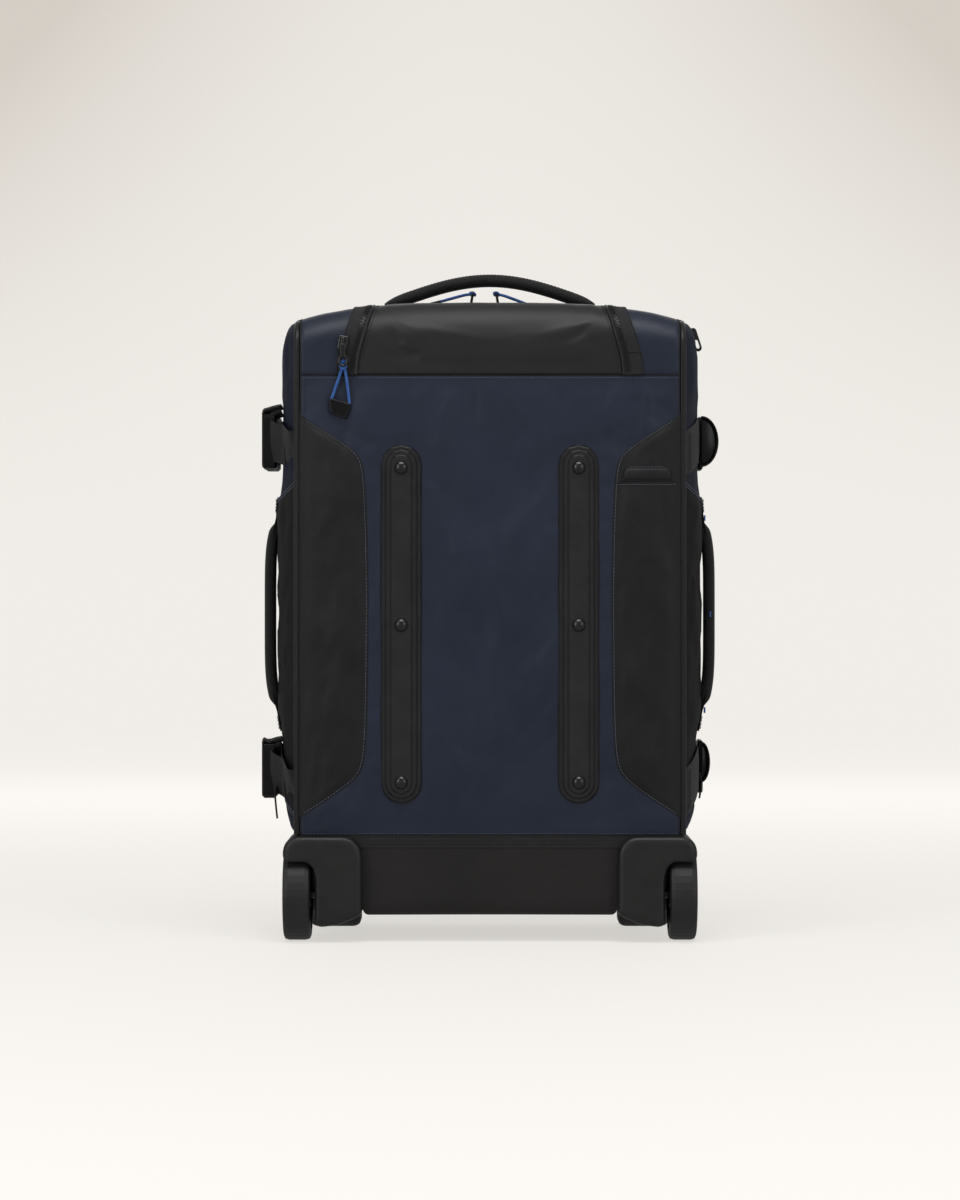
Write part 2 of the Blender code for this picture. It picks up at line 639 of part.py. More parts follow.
def buckle(level, z):
    """A side-release buckle: the socket stays, and the clip slides out of it towards the front."""
    half, inner, outer = 25.0, -BUCKLE_IN, -SIDE_REACH
    shape = rounded_rectangle((BUCKLE_BACK, z - half), (BUCKLE_SPLIT, z + half), 6.0, 3)
    socket = plate(f"buckle_socket_{level}", shape, "YZ", outer, inner, PLASTIC, 2.0)
    low_corner, high_corner = (outer + 3, BUCKLE_BACK + 8, z - 20.5), (inner - 3, BUCKLE_SPLIT + 5, z + 20.5)
    cut(socket, cutter_block(f"buckle_mouth_{level}", low_corner, high_corner))
    for end in (-1, 1):
        zs = sorted((z + end * 19, z + end * 30))
        low_corner, high_corner = (outer + 3, BUCKLE_BACK + 12, zs[0]), (inner - 3, BUCKLE_SPLIT - 12, zs[1])
        cut(socket, cutter_block(f"buckle_window_{level}_{end}", low_corner, high_corner))
    base = rounded_rectangle((BUCKLE_SPLIT + 1.0, z - half), (BUCKLE_FRONT, z + half), 5.0, 3)
    clip = plate(f"buckle_clip_{level}", base, "YZ", outer, inner, PLASTIC, 2.0)
    low_corner, high_corner = (outer + 4, BUCKLE_BACK + 9.5, z - 3), (inner - 4, BUCKLE_SPLIT + 6, z + 3)
    joined(clip, cutter_block(f"clip_spine_{level}", low_corner, high_corner))
    tip, root = BUCKLE_BACK, BUCKLE_SPLIT + 6
    catch = [(tip + 10, 14.0), (tip + 12, 19.5), (tip + 24, 19.5), (tip + 28, 17.0)]
    half_arm = [(root, 18.0), (root, 12.0)] + catch
    for end in (-1, 1):
        points = [(y, z + end * out) for y, out in half_arm]
        name = f"clip_arm_{level}_{end}"
        joined(clip, plate(name, points, "YZ", outer + 4, inner - 4, None, collection=CUTTERS))
    for y in (BUCKLE_SPLIT + 11, BUCKLE_SPLIT + 20):
        low_corner, high_corner = (outer - 5, y, z - 19.5), (inner + 5, y + 4.5, z + 19.5)
        cut(clip, cutter_block(f"clip_slot_{level}_{y:.0f}", low_corner, high_corner))
    set_origin(clip, ((outer + inner) / 2, BUCKLE_SPLIT, z))


TAB_SHAPE = {"upper": (-22.0, 22.0, SIDE_REACH), "lower": (-12.0, 24.0, 195.0)}  # from, to, reach


def adjuster(level, z):
    """A ladder lock on the right-hand strap, and the rounded tab that the strap's spare end is sewn to."""
    inner, outer = 185.9, 190.6
    shape = rounded_rectangle((18.0, z - 24), (48.0, z + 24), 5.0, 3)
    lock = plate(f"ladder_lock_{level}", shape, "YZ", inner, outer, PLASTIC, 1.5)
    for y in (23.0, 36.0):
        low_corner, high_corner = (inner - 5, y, z - 19.5), (outer + 5, y + 6, z + 19.5)
        cut(lock, cutter_block(f"lock_slot_{level}_{y:.0f}", low_corner, high_corner))
    below, above, reach = TAB_SHAPE[level]
    middle, half, root = z + (below + above) / 2, (above - below) / 2, 187.4
    angles = [math.radians(d) for d in range(-90, 91, 12)]
    rim = [(root + (reach - root) * math.cos(a), middle + half * math.sin(a)) for a in angles]
    spine = [(root - 1.4, z + above), (root - 1.4, z + below)]
    plate(f"strap_loop_{level}", rim + spine, "XZ", TAB_Y - 5.0, TAB_Y + 5.0, WEB, 2.0, 2)


def carry_handles():
    thick, depth, half = 10.0, 14.0, 90.0
    rise = HANDLE_TOP - HANDLE_FOOT

    def arch(half_span, height, count=12):
        turns = [math.pi / 2 * k / count for k in range(-count, count + 1)]
        return [(half_span * math.sin(a), HANDLE_FOOT + height * math.cos(a) ** 1.3) for a in turns]

    shape = arch(half, rise) + arch(half - 24, rise - thick)[::-1]
    handle = plate("top_handle", shape, "XZ", -depth, depth, WEB, 3.0)
    set_origin(handle, (0, 0, HANDLE_FOOT + 3))
    low, high, foot_x, outer_x, inner_x = 197.0, 368.0, 185.4, 198.0, 191.9
    middle, span = (low + high) / 2, (high - low) / 2
    turns = [k / 10 for k in range(-10, 11)]
    outer = [(foot_x + (outer_x - foot_x) * (1 - abs(t) ** 5), middle + span * t) for t in turns]
    inner = [(foot_x + (inner_x - foot_x) * (1 - abs(t) ** 3), middle + (span - 14) * t) for t in turns]
    for side, word in ((-1, "left"), (1, "right")):
        shape = [(side * x, z) for x, z in outer + inner[::-1]]
        plate(f"side_handle_{word}", shape, "XZ", -14.0, 14.0, WEB, 1.6, 1)


# ---------- Zip sliders and pulls ----------


def zips():
    y = LID_BACK_Y - 1.0
    surface = TOP_Z + 1.2
    for x, word in ((-16.0, "left"), (7.0, "right")):
        low_corner, high_corner = (x - 6.5, y - 5, surface), (x + 6.5, y + 5, surface + 4.6)
        set_origin(block(f"main_slider_{word}", low_corner, high_corner, STEEL, 1.2), (x, y, surface))
        side = -1 if word == "left" else 1
        half = [(0.0, 3.5), (19.0, 3.5), (21.0, 1.3), (27.0, 1.3), (28.0, 4.5), (39.0, 4.5)]
        near = [(x + side * d, y - w) for d, w in half]
        outline = near + [(px, 2 * y - py) for px, py in reversed(near)]
        pull = plate(f"main_pull_{word}", outline, "XY", surface + 5.0, surface + 7.4, STEEL, 0.6)
        set_origin(pull, (x + side * 1.2, y, surface + 6.2))
    slider = block("cover_slider", (-5.5, -5.2, -7.5), (5.5, -0.6, 7.5), STEEL, 1.2)
    slider.location = Vector((-124.5, BACK_Y, 515.5)) * MM
    slider.rotation_euler = (0.0, COVER_TILT, 0.0)
    shape = rounded_rectangle((-4.0, -18.5), (4.0, 2.5), 3.5, 3)
    pull = plate("cover_pull", shape, "XZ", -8.6, -5.6, STEEL, 0.7)
    pull.location += Vector((-126.5, BACK_Y, 515.0)) * MM
    cut(pull, cutter_rod("pull_eye", 2.1, (-126.5, BACK_Y - 15, 500.5), (-126.5, BACK_Y, 500.5), 10))
    set_origin(pull, COVER_PULL_HINGE)
    tag = plate("cover_tag", rounded_rectangle((-8.8, -7.6), (8.8, 7.6), 2.0, 2), "XZ", -1.3, 1.3, WEB, 0.5)
    tag.location = Vector((-129.4, BACK_Y - 4.0, 459.0)) * MM
    tag.rotation_euler = (math.pi / 2, TAG_TILT, 0.0)
    knot, spread = Vector((-126.5, BACK_Y - 4.0, 497.0)), 4.0
    legs = []
    for end in (-1, 1):
        foot = Vector((-129.4 + end * spread, BACK_Y - 4.0, 463.0))
        legs.append(rod(f"tag_leg_{end}", CORD_R, knot, foot, None, 8, CUTTERS))
    half = Vector((3.0, 1.3, 2.5))
    ball = cutter_block("tag_knot", knot - half, knot + half)
    joined(tag, *legs, ball)
    set_origin(tag, COVER_PULL_HINGE)
    shape = rounded_rectangle((-3.2, -19.0), (3.2, 2.5), 3.0, 3)
    side = plate("side_pull", shape, "XZ", -1.1, 1.1, STEEL, 0.6)
    hole = rounded_rectangle((-1.5, -16.5), (1.5, -8.5), 1.4, 2)
    eye = plate("side_pull_eye", hole, "XZ", -5, 5, None, collection=CUTTERS)
    hung = Matrix.Translation(Vector(SIDE_PULL_AT) * MM) @ Matrix.Rotation(-SIDE_PULL_TILT, 4, "Y")
    for piece in (side, eye):
        piece.matrix_basis = hung @ piece.matrix_basis
    cut(side, eye)
    set_origin(side, SIDE_PULL_HINGE)


def main():
    back = soft_body()
    base_tray()
    frame_board(back)
    skid_rails()
    for side, word in ((-1, "left"), (1, "right")):
        wheel_housing(side, word)
        wheel(side, word)
        foot(side, word)
    telescopic_handle()
    compression_straps()
    carry_handles()
    zips()


main()
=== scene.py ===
"""The looks of the rolling duffel bag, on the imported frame.

+Z is up, and the back faces -Y. Lengths are in millimetres, and become metres in piece(), lozenge() and at().
"""

import math

import bmesh
import bpy
from mathutils import Matrix, Vector, noise


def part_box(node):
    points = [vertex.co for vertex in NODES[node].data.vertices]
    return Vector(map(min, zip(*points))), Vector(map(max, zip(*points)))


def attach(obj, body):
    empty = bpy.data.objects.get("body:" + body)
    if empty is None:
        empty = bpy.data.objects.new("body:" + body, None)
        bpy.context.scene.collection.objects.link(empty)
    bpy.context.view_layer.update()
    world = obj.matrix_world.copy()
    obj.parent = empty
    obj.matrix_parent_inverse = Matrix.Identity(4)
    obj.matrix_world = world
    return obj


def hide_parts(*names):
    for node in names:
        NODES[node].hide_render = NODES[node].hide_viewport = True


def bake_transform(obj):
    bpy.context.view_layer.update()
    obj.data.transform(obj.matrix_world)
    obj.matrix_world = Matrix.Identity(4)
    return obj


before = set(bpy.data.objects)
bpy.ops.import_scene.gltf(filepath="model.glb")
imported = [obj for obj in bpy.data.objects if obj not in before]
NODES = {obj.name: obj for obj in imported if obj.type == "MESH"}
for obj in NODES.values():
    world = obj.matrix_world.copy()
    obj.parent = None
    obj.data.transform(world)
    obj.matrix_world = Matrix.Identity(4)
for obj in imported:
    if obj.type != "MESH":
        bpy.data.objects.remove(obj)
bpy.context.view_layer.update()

MM = 0.001

# The same shape as the frame's
HALF_WIDTH, BACK_Y, FRONT_Y = 166.0, -98.0, 100.0
BASE_BOTTOM, BASE_TOP, SEAM_Z = 23.0, 92.0, 489.0
TOP_Z, TOP_RADIUS, TOP_DROP = 551.0, 28.0, 13.0
SIDE_BULGE, SIDE_BOTTOM, LENS_SWELL = 17.0, 94.0, 4.2
SIDE_TOP = TOP_Z - TOP_DROP + 0.5
SIDE_RIM = 92.5
LID_HALF, LID_BOTTOM, LID_BACK_Y, LID_CORNER, LID_CROWN = 140.0, 131.0, 50.0, 55.0, 15.0
COVER_HALF_LOW, COVER_HALF_HIGH, COVER_FRONT_Y = 117.0, 102.0, -54.0
HOUSING_IN, HOUSING_FRONT = 110.0, -22.0
RAIL_X, RAIL_LOW, RAIL_HIGH, RAIL_HALF = 76.5, 120.0, 428.5, 17.25
WEBBING = 38.0
STRAP_Z = {"upper": 435.0, "lower": 146.0}
STRAP_DROP = {"upper": 12.5, "lower": 16.0}
STRAP_LEVEL_Y = -44.0
TAB_Y = -20.0
TAB_SHAPE = {"upper": (-22.5, 22.5, 202.5), "lower": (-12.0, 24.0, 195.0)}
HANDLE_FOOT, HANDLE_TOP = 555.0, 584.0

# ---------- Materials ----------


def colour_of(hexadecimal):
    """A display colour such as 252b3a as linear RGB."""
    channels = [int(hexadecimal[k : k + 2], 16) / 255 for k in (0, 2, 4)]
    return tuple(c / 12.92 if c <= 0.04045 else ((c + 0.055) / 1.055) ** 2.4 for c in channels)


class Nodes:
    """A material's node tree, with short ways to add and join nodes."""

    def __init__(self, name, roughness, metallic=0.0):
        self.material = bpy.data.materials.new(name)
        self.material.use_nodes = True
        self.tree = self.material.node_tree
        self.shader = self.tree.nodes["Principled BSDF"]
        self.shader.inputs["Metallic"].default_value = metallic
        self.shader.inputs["Roughness"].default_value = roughness

    def add(self, kind, sources=(), **settings):
        node = self.tree.nodes.new(kind)
        for key, value in settings.items():
            if hasattr(node, key):
                setattr(node, key, value)
            else:
                node.inputs[key.replace("_", " ")].default_value = value
        for socket, source in sources:
            self.tree.links.new(source, node.inputs[socket])
        return node

    def value(self, number):
        node = self.tree.nodes.new("ShaderNodeValue")
        node.outputs[0].default_value = number
        return node.outputs[0]

    def coordinates(self, kind="Object"):
        return self.add("ShaderNodeTexCoord").outputs[kind]

    def noise(self, where, scale, detail=4.0, roughness=0.5):
        return self.add(
            "ShaderNodeTexNoise", [("Vector", where)], Scale=scale, Detail=detail, Roughness=roughness
        ).outputs["Fac"]

    def bands(self, where, period_mm, direction):
        """Even bands with this period, along one axis of the coordinates, which are in metres."""
        scale = 2 * math.pi / 20 / (period_mm * MM)
        return self.add(
            "ShaderNodeTexWave", [("Vector", where)], wave_type="BANDS", bands_direction=direction,
            Scale=scale
        ).outputs["Fac"]

    def mix_colour(self, factor, first, second):
        ramp = self.add("ShaderNodeValToRGB", [("Fac", factor)])
        ramp.color_ramp.elements[0].position = 0.3
        ramp.color_ramp.elements[1].position = 0.7
        ramp.color_ramp.elements[0].color = (*first, 1.0)
        ramp.color_ramp.elements[1].color = (*second, 1.0)
        return ramp.outputs["Color"]

    def between(self, factor, low, high):
        node = self.add("ShaderNodeMapRange", [("Value", factor)])
        node.inputs["To Min"].default_value = low
        node.inputs["To Max"].default_value = high
        return node.outputs["Result"]

    def math(self, operation, first, second):
        return self.add("ShaderNodeMath", [(0, first), (1, second)], operation=operation).outputs[0]

    def bump(self, height, distance_mm, strength=1.0, under=None):
        sources = [("Height", height)] + ([("Normal", under)] if under else [])
        return self.add(
            "ShaderNodeBump", sources, Strength=strength, Distance=distance_mm * MM
        ).outputs["Normal"]

    def finish(self, colour=None, roughness=None, normal=None, **shader):
        for name, source in (("Base Color", colour), ("Roughness", roughness), ("Normal", normal)):
            if source is not None:
                self.tree.links.new(source, self.shader.inputs[name])
        for key, value in shader.items():
            self.shader.inputs[key.replace("_", " ")].default_value = value
        return self.material


def coated_fabric(
    name, colour, lighter, roughness=0.44, crease_mm=0.5, weave_mm=0.9, sheen=0.03, specular=0.4
):
    """Coated polyester: a fine plain weave under a satin film, with soft creases and worn patches."""
    n = Nodes(name, roughness)
    place, flat = n.coordinates(), n.coordinates("UV")
    weave = n.math("MULTIPLY", n.bands(flat, weave_mm, "X"), n.bands(flat, weave_mm, "Y"))
    creases = n.noise(place, 26.0, 5.0, 0.55)
    grain = n.noise(place, 900.0, 2.0)
    patches = n.noise(place, 9.0, 3.0)
    normal = n.bump(creases, crease_mm * 6, 0.22)
    normal = n.bump(weave, 0.10, 0.5, normal)
    normal = n.bump(grain, 0.05, 0.6, normal)
    rough = n.between(
        n.math("ADD", patches, n.math("MULTIPLY", grain, n.value(0.3))), roughness - 0.07, roughness + 0.12
    )
    base = n.mix_colour(patches, colour, lighter)
    return n.finish(base, rough, normal, Sheen_Weight=sheen, Sheen_Roughness=0.4, Specular_IOR_Level=specular)


def woven(name, colour, lighter, rib_mm=1.6, across_mm=2.2, depth_mm=0.35):
    """Webbing: ribs across the band and warp lines along it, with lighter threads on top."""
    n = Nodes(name, 0.72)
    flat, place = n.coordinates("UV"), n.coordinates()
    ribs, warps = n.bands(flat, rib_mm, "X"), n.bands(flat, across_mm, "Y")
    threads = n.math("MULTIPLY", ribs, warps)
    fuzz = n.noise(place, 1500.0, 2.0)
    normal = n.bump(threads, depth_mm, 0.9)
    normal = n.bump(fuzz, 0.08, 0.6, normal)
    base = n.mix_colour(
        n.math("ADD", n.math("MULTIPLY", threads, n.value(0.7)), n.math("MULTIPLY", fuzz, n.value(0.35))),
        colour, lighter
    )
    return n.finish(base, n.between(threads, 0.82, 0.62), normal, Sheen_Weight=0.05, Sheen_Roughness=0.5)


def moulded(name, colour, lighter, roughness=0.42, grain_mm=0.12, grain_scale=700.0, coat=0.0, specular=0.5):
    """Injection-moulded plastic or rubber: a spark-eroded grain with faint scuffs."""
    n = Nodes(name, roughness)
    place = n.coordinates()
    grain, scuffs = n.noise(place, grain_scale, 3.0), n.noise(place, 38.0, 6.0, 0.7)
    normal = n.bump(grain, grain_mm, 0.5)
    base = n.mix_colour(scuffs, colour, lighter)
    return n.finish(
        base, n.between(scuffs, roughness - 0.06, roughness + 0.14), normal, Coat_Weight=coat,
        Coat_Roughness=0.25, Specular_IOR_Level=specular
    )


def brushed(name, colour, roughness, direction_scale=(900.0, 900.0, 8.0)):
    """Metal with fine lines along its length."""
    n = Nodes(name, roughness, 1.0)
    stretch = n.add("ShaderNodeMapping", [("Vector", n.coordinates())], Scale=direction_scale)
    lines = n.noise(stretch.outputs["Vector"], 1.0, 3.0)
    darker = tuple(c * 0.8 for c in colour)
    return n.finish(
        n.mix_colour(lines, darker, colour), n.between(lines, roughness - 0.05, roughness + 0.1),
        n.bump(lines, 0.02, 0.3)
    )


def braided(name, colour, lighter):
    """Braided cord: slanting strands that cross."""
    n = Nodes(name, 0.5)
    place = n.coordinates()
    turned_one = n.add("ShaderNodeMapping", [("Vector", place)], Rotation=(0.0, 0.7, 0.6)).outputs["Vector"]
    turned_two = n.add("ShaderNodeMapping", [("Vector", place)], Rotation=(0.0, -0.7, -0.6)).outputs["Vector"]
    strands = n.math("MAXIMUM", n.bands(turned_one, 1.1, "Z"), n.bands(turned_two, 1.1, "Z"))
    return n.finish(
        n.mix_colour(strands, colour, lighter), None, n.bump(strands, 0.25, 0.9), Sheen_Weight=0.2
    )


NAVY = coated_fabric("navy coated fabric", colour_of("141d2f"), colour_of("192338"), 0.4)
BLACK = coated_fabric(
    "black coated fabric", colour_of("111112"), colour_of("171718"), 0.46, 0.6, 0.9, 0.02, 0.34
)
SIDE_NAVY = coated_fabric(
    "navy end fabric", colour_of("131a2a"), colour_of("182031"), 0.6, 0.7, 0.9, 0.0, 0.16
)
SIDE_BLACK = coated_fabric(
    "black end fabric", colour_of("121213"), colour_of("181819"), 0.62, 0.7, 0.9, 0.0, 0.16
)
BUCKLE = moulded(
    "black buckle plastic", colour_of("050506"), colour_of("0b0b0c"), 0.26, 0.04, 600.0, 0.0, 0.3
)
SATIN = coated_fabric("black satin fabric", colour_of("171718"), colour_of("1e1e1f"), 0.4, 0.3)
BASE = coated_fabric("black base fabric", colour_of("141212"), colour_of("1c1919"), 0.5, 0.6, 1.3)
LINING = coated_fabric("grey lining", colour_of("3d4044"), colour_of("484b50"), 0.6, 0.5, 0.7)
BINDING = woven("black binding", colour_of("0b0b0c"), colour_of("161617"), 1.1, 0.9, 0.15)
PIPING = coated_fabric("black piping", colour_of("0d0d0e"), colour_of("141415"), 0.34, 0.2, 0.8)
WEB = woven("black webbing", colour_of("0d0d0e"), colour_of("1b1b1d"))
TAPE = woven("zip tape", colour_of("101011"), colour_of("1a1a1c"), 0.9, 1.4, 0.12)
THREAD = woven("grey thread", colour_of("4a5060"), colour_of("6a7183"), 0.5, 0.5, 0.1)
DARK_THREAD = woven("dark thread", colour_of("242630"), colour_of("3a3d48"), 0.5, 0.5, 0.1)
PLASTIC = moulded("black moulded plastic", colour_of("131313"), colour_of("1b1b1b"), 0.4)
RAIL = moulded("satin rail plastic", colour_of("19181a"), colour_of("222124"), 0.3, 0.08, 900.0)
GLOSSY = moulded("glossy plastic", colour_of("0a0a0b"), colour_of("121213"), 0.24, 0.04)
COIL = moulded("zip coil", colour_of("0a0a0b"), colour_of("161618"), 0.3, 0.02)
RUBBER = moulded("tyre rubber", colour_of("161617"), colour_of("1f1f20"), 0.5, 0.15, 500.0)
STEEL = moulded("black plated metal", colour_of("080809"), colour_of("111112"), 0.16, 0.02, 300.0, 0.4)
SCREW = moulded("black screw", colour_of("0c0c0d"), colour_of("151516"), 0.2, 0.02, 300.0, 0.3)
ALUMINIUM = brushed("anodised aluminium", colour_of("85888d"), 0.3)
BLUE = braided("blue cord", colour_of("0b3474"), colour_of("1c5ba8"))


# ---------- Mesh helpers ----------


def smooth(value):
    value = min(1.0, max(0.0, value))
    return value * value * (3 - 2 * value)


def wrinkle(point, size_mm, depth_mm, seed=0.0):
    """A soft, repeatable rise or fall of the cloth at a point, in millimetres."""
    p = Vector(point) / size_mm + Vector((seed * 7.3, seed * 3.1, -seed * 5.7))
    return depth_mm * (noise.noise(p) + 0.5 * noise.noise(p * 2.1) + 0.25 * noise.noise(p * 4.3))


def spread(low, high, count):
    return [low + (high - low) * k / count for k in range(count + 1)]


def piece(name, verts, faces, finish, body, node_names=(), uvs=None, thickness=0.0, sharp=40.0):
    """A mesh in millimetres, given its finish, ridden on its body, and put in place of CAD nodes."""
    mesh = bpy.data.meshes.new(name)
    mesh.from_pydata([tuple(c * MM for c in v) for v in verts], [], faces)
    mesh.validate()
    if uvs:
        layer = mesh.uv_layers.new(name="UVMap")
        for loop in mesh.loops:
            u, v = uvs[loop.vertex_index]
            layer.data[loop.index].uv = (u * MM, v * MM)
    mesh.shade_smooth()
    mesh.set_sharp_from_angle(angle=math.radians(sharp))
    obj = bpy.data.objects.new(name, mesh)
    bpy.context.scene.collection.objects.link(obj)
    for each in finish if isinstance(finish, (list, tuple)) else [finish]:
        mesh.materials.append(each)
    if thickness:
        solid = obj.modifiers.new("thickness", "SOLIDIFY")
        solid.thickness = thickness * MM
        solid.offset = -1.0
        rim = obj.modifiers.new("soft rim", "BEVEL")
        rim.width = min(0.35 * thickness, 0.8) * MM
        rim.segments = 2
        rim.limit_method = "ANGLE"
        rim.angle_limit = math.radians(50)
    if body:
        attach(obj, body)
    if node_names:
        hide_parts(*node_names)
    return obj


def grid(name, us, vs, place, finish, body, node_names=(), thickness=0.0, out=None, zones=None, uv=None):
    """A sheet laid out by place(u, v) over the lists us and vs. out is a direction its face turns to."""
    verts = [place(u, v) for v in vs for u in us]
    wide = len(us)
    faces = [
        (r * wide + c, r * wide + c + 1, (r + 1) * wide + c + 1, (r + 1) * wide + c)
        for r in range(len(vs) - 1)
        for c in range(wide - 1)
    ]
    if out is not None:
        turn = Vector()
        for face in faces:
            a, b, c = (Vector(verts[k]) for k in face[:3])
            turn += (b - a).cross(c - a)
        if turn.dot(Vector(out)) < 0:
            faces = [tuple(reversed(face)) for face in faces]
    if uv is None:
        middle_row, middle_column = len(vs) // 2 * wide, wide // 2
        along = [0.0]
        for c in range(wide - 1):
            along.append(
                along[-1] + (Vector(verts[middle_row + c + 1]) - Vector(verts[middle_row + c])).length
            )
        up = [0.0]
        for r in range(len(vs) - 1):
            a, b = verts[r * wide + middle_column], verts[(r + 1) * wide + middle_column]
            up.append(up[-1] + (Vector(b) - Vector(a)).length)
        uvs = [(a, b) for b in up for a in along]
    else:
        uvs = [uv(u, v) for v in vs for u in us]
    obj = piece(name, verts, faces, finish, body, node_names, uvs, thickness)
    if zones:
        for index, polygon in enumerate(obj.data.polygons):
            row, column = divmod(index, wide - 1)
            polygon.material_index = zones(row, column)
    return obj


def frames_along(points, up=(0.0, 0.0, 1.0), closed=False):
    """For each point, the direction along the path and two square to it, without sudden twists."""
    points = [Vector(p) for p in points]
    result, side = [], None
    for k, here in enumerate(points):
        if closed:
            ahead = points[(k + 1) % len(points)] - points[k - 1]
        else:
            ahead = points[min(k + 1, len(points) - 1)] - points[max(k - 1, 0)]
        ahead.normalize()
        if side is None:
            side = ahead.cross(Vector(up))
            if side.length < 0.1:
                side = ahead.cross(Vector((1.0, 0.0, 0.0)))
        side = (side - ahead * side.dot(ahead)).normalized()
        result.append((here, ahead, side, side.cross(ahead).normalized()))
    return result


def cut_sheet(obj, held, *rests_on):
    """Works out the width and length of a sewn sheet made by grid(), the size that it is cut to, and returns
    the sheet.
    """
    places = [v.co for v in obj.data.vertices]
    across = max(obj.data.polygons[0].vertices) - 1
    rows = [places[k:k + across] for k in range(0, len(places), across)]

    def longest(lines):
        return max(sum((b - a).length for a, b in zip(line, line[1:])) for line in lines)

    width, length = longest(rows), longest(list(zip(*rows)))
    return obj


CLOTH_PRESSURE, CLOTH_GRAVITY, CLOTH_STRETCH, CLOTH_BEND = 1.5, 0.15, 25.0, 0.9
CLOTH_SLACK, CLOTH_FRAMES, CLOTH_STEPS = 0.016, 16, 4
HELD_BELOW = 0.02


def relax(obj, free, cap_mm):
    """Lets a sheet with a little too much cloth settle, held at its edges, so that it buckles softly.

    free says, for a place in millimetres, how much of the movement that point keeps, from 0 to 1.
    """
    mesh, scene = obj.data, bpy.context.scene
    before = [v.co.copy() for v in mesh.vertices]
    share = [free(*(c / MM for c in co)) for co in before]
    held = obj.vertex_groups.new(name="held")
    for index, keep in enumerate(share):
        held.add([index], 1.0 if keep <= HELD_BELOW else 0.0, "REPLACE")
    others = [m for m in obj.modifiers if m.show_viewport]
    for modifier in others:
        modifier.show_viewport = False
    cloth = obj.modifiers.new("cloth", "CLOTH")
    settings = cloth.settings
    settings.vertex_group_mass = "held"
    settings.shrink_min = -CLOTH_SLACK
    settings.use_pressure = True
    settings.uniform_pressure_force = CLOTH_PRESSURE
    settings.effector_weights.gravity = CLOTH_GRAVITY
    settings.tension_stiffness = settings.compression_stiffness = CLOTH_STRETCH
    settings.bending_stiffness = CLOTH_BEND
    settings.quality = CLOTH_STEPS
    cloth.point_cache.frame_end = CLOTH_FRAMES
    for number in range(1, CLOTH_FRAMES + 1):
        scene.frame_set(number)
    settled = obj.evaluated_get(bpy.context.evaluated_depsgraph_get()).to_mesh()
    after = [v.co.copy() for v in settled.vertices]
    obj.evaluated_get(bpy.context.evaluated_depsgraph_get()).to_mesh_clear()
    obj.modifiers.remove(cloth)
    obj.vertex_groups.remove(held)
    for modifier in others:
        modifier.show_viewport = True
    scene.frame_set(1)
    for vert, start, end, keep in zip(mesh.vertices, before, after, share):
        move = end - start
        if move.length > cap_mm * MM:
            move *= cap_mm * MM / move.length
        vert.co = start + move * keep
    mesh.update()
    return obj


def pipe_data(points, radius, sides=8, closed=False, flat=1.0, taper=None):
    """Vertices, faces and UVs of a tube. flat squeezes it along its second direction."""
    verts, faces, uvs, run = [], [], [], 0.0
    frames = frames_along(points, closed=closed)
    for k, (here, _, side, over) in enumerate(frames):
        if k:
            run += (here - frames[k - 1][0]).length
        size = radius * (taper(k / (len(frames) - 1)) if taper else 1.0)
        for s in range(sides):
            a = 2 * math.pi * s / sides
            verts.append(here + side * (size * math.cos(a)) + over * (size * flat * math.sin(a)))
            uvs.append((run, size * a))
    rings = len(frames)
    for k in range(rings if closed else rings - 1):
        for s in range(sides):
            a, b = k * sides + s, k * sides + (s + 1) % sides
            c, d = (a + sides) % (rings * sides), (b + sides) % (rings * sides)
            faces.append((a, c, d, b))
    if not closed:
        faces.append(tuple(range(sides)))
        faces.append(tuple(reversed(range((rings - 1) * sides, rings * sides))))
    return verts, faces, uvs


def pipe(name, points, radius, finish, body, node_names=(), **shape):
    verts, faces, uvs = pipe_data(points, radius, **shape)
    return piece(name, verts, faces, finish, body, node_names, uvs)


def merged(name, chunks, finish, body, node_names=()):
    """One object from several (verts, faces, uvs)."""
    verts, faces, uvs = [], [], []
    for some_verts, some_faces, some_uvs in chunks:
        base = len(verts)
        verts += some_verts
        faces += [tuple(base + k for k in face) for face in some_faces]
        uvs += some_uvs
    return piece(name, verts, faces, finish, body, node_names, uvs)


def resampled(points, step):
    """Points a step apart along the path."""
    points = [Vector(p) for p in points]
    result, left = [points[0].copy()], step
    for a, b in zip(points, points[1:]):
        length = (b - a).length
        at = left
        while at <= length:
            result.append(a.lerp(b, at / length))
            at += step
        left = at - length
    return result


def stitch_data(points, outward, pitch=3.4, length=2.3, radius=0.36):
    """A row of stitches along a path, each a short rounded thread that dives into the cloth at its ends.

    outward(point) is the direction away from the cloth.
    """
    chunks = []
    dots = resampled(points, pitch)
    for a, b in zip(dots, dots[1:]):
        along = (b - a).normalized()
        out = Vector(outward(a)).normalized()
        side = along.cross(out).normalized()
        start = a.lerp(b, (1 - length / pitch) / 2)
        verts, faces, uvs = [], [], []
        for k, (at, lift) in enumerate(((0.0, -0.4), (0.2, 0.75), (0.8, 0.75), (1.0, -0.4))):
            here = start + along * (length * at) + out * (radius * lift)
            for s in range(4):
                angle = math.pi / 4 + math.pi / 2 * s
                verts.append(here + side * (radius * math.cos(angle)) + out * (radius * math.sin(angle)))
                uvs.append((length * at, s * radius))
        for k in range(3):
            for s in range(4):
                faces.append((k * 4 + s, k * 4 + (s + 1) % 4, (k + 1) * 4 + (s + 1) % 4, (k + 1) * 4 + s))
        chunks.append((verts, faces, uvs))
    return chunks


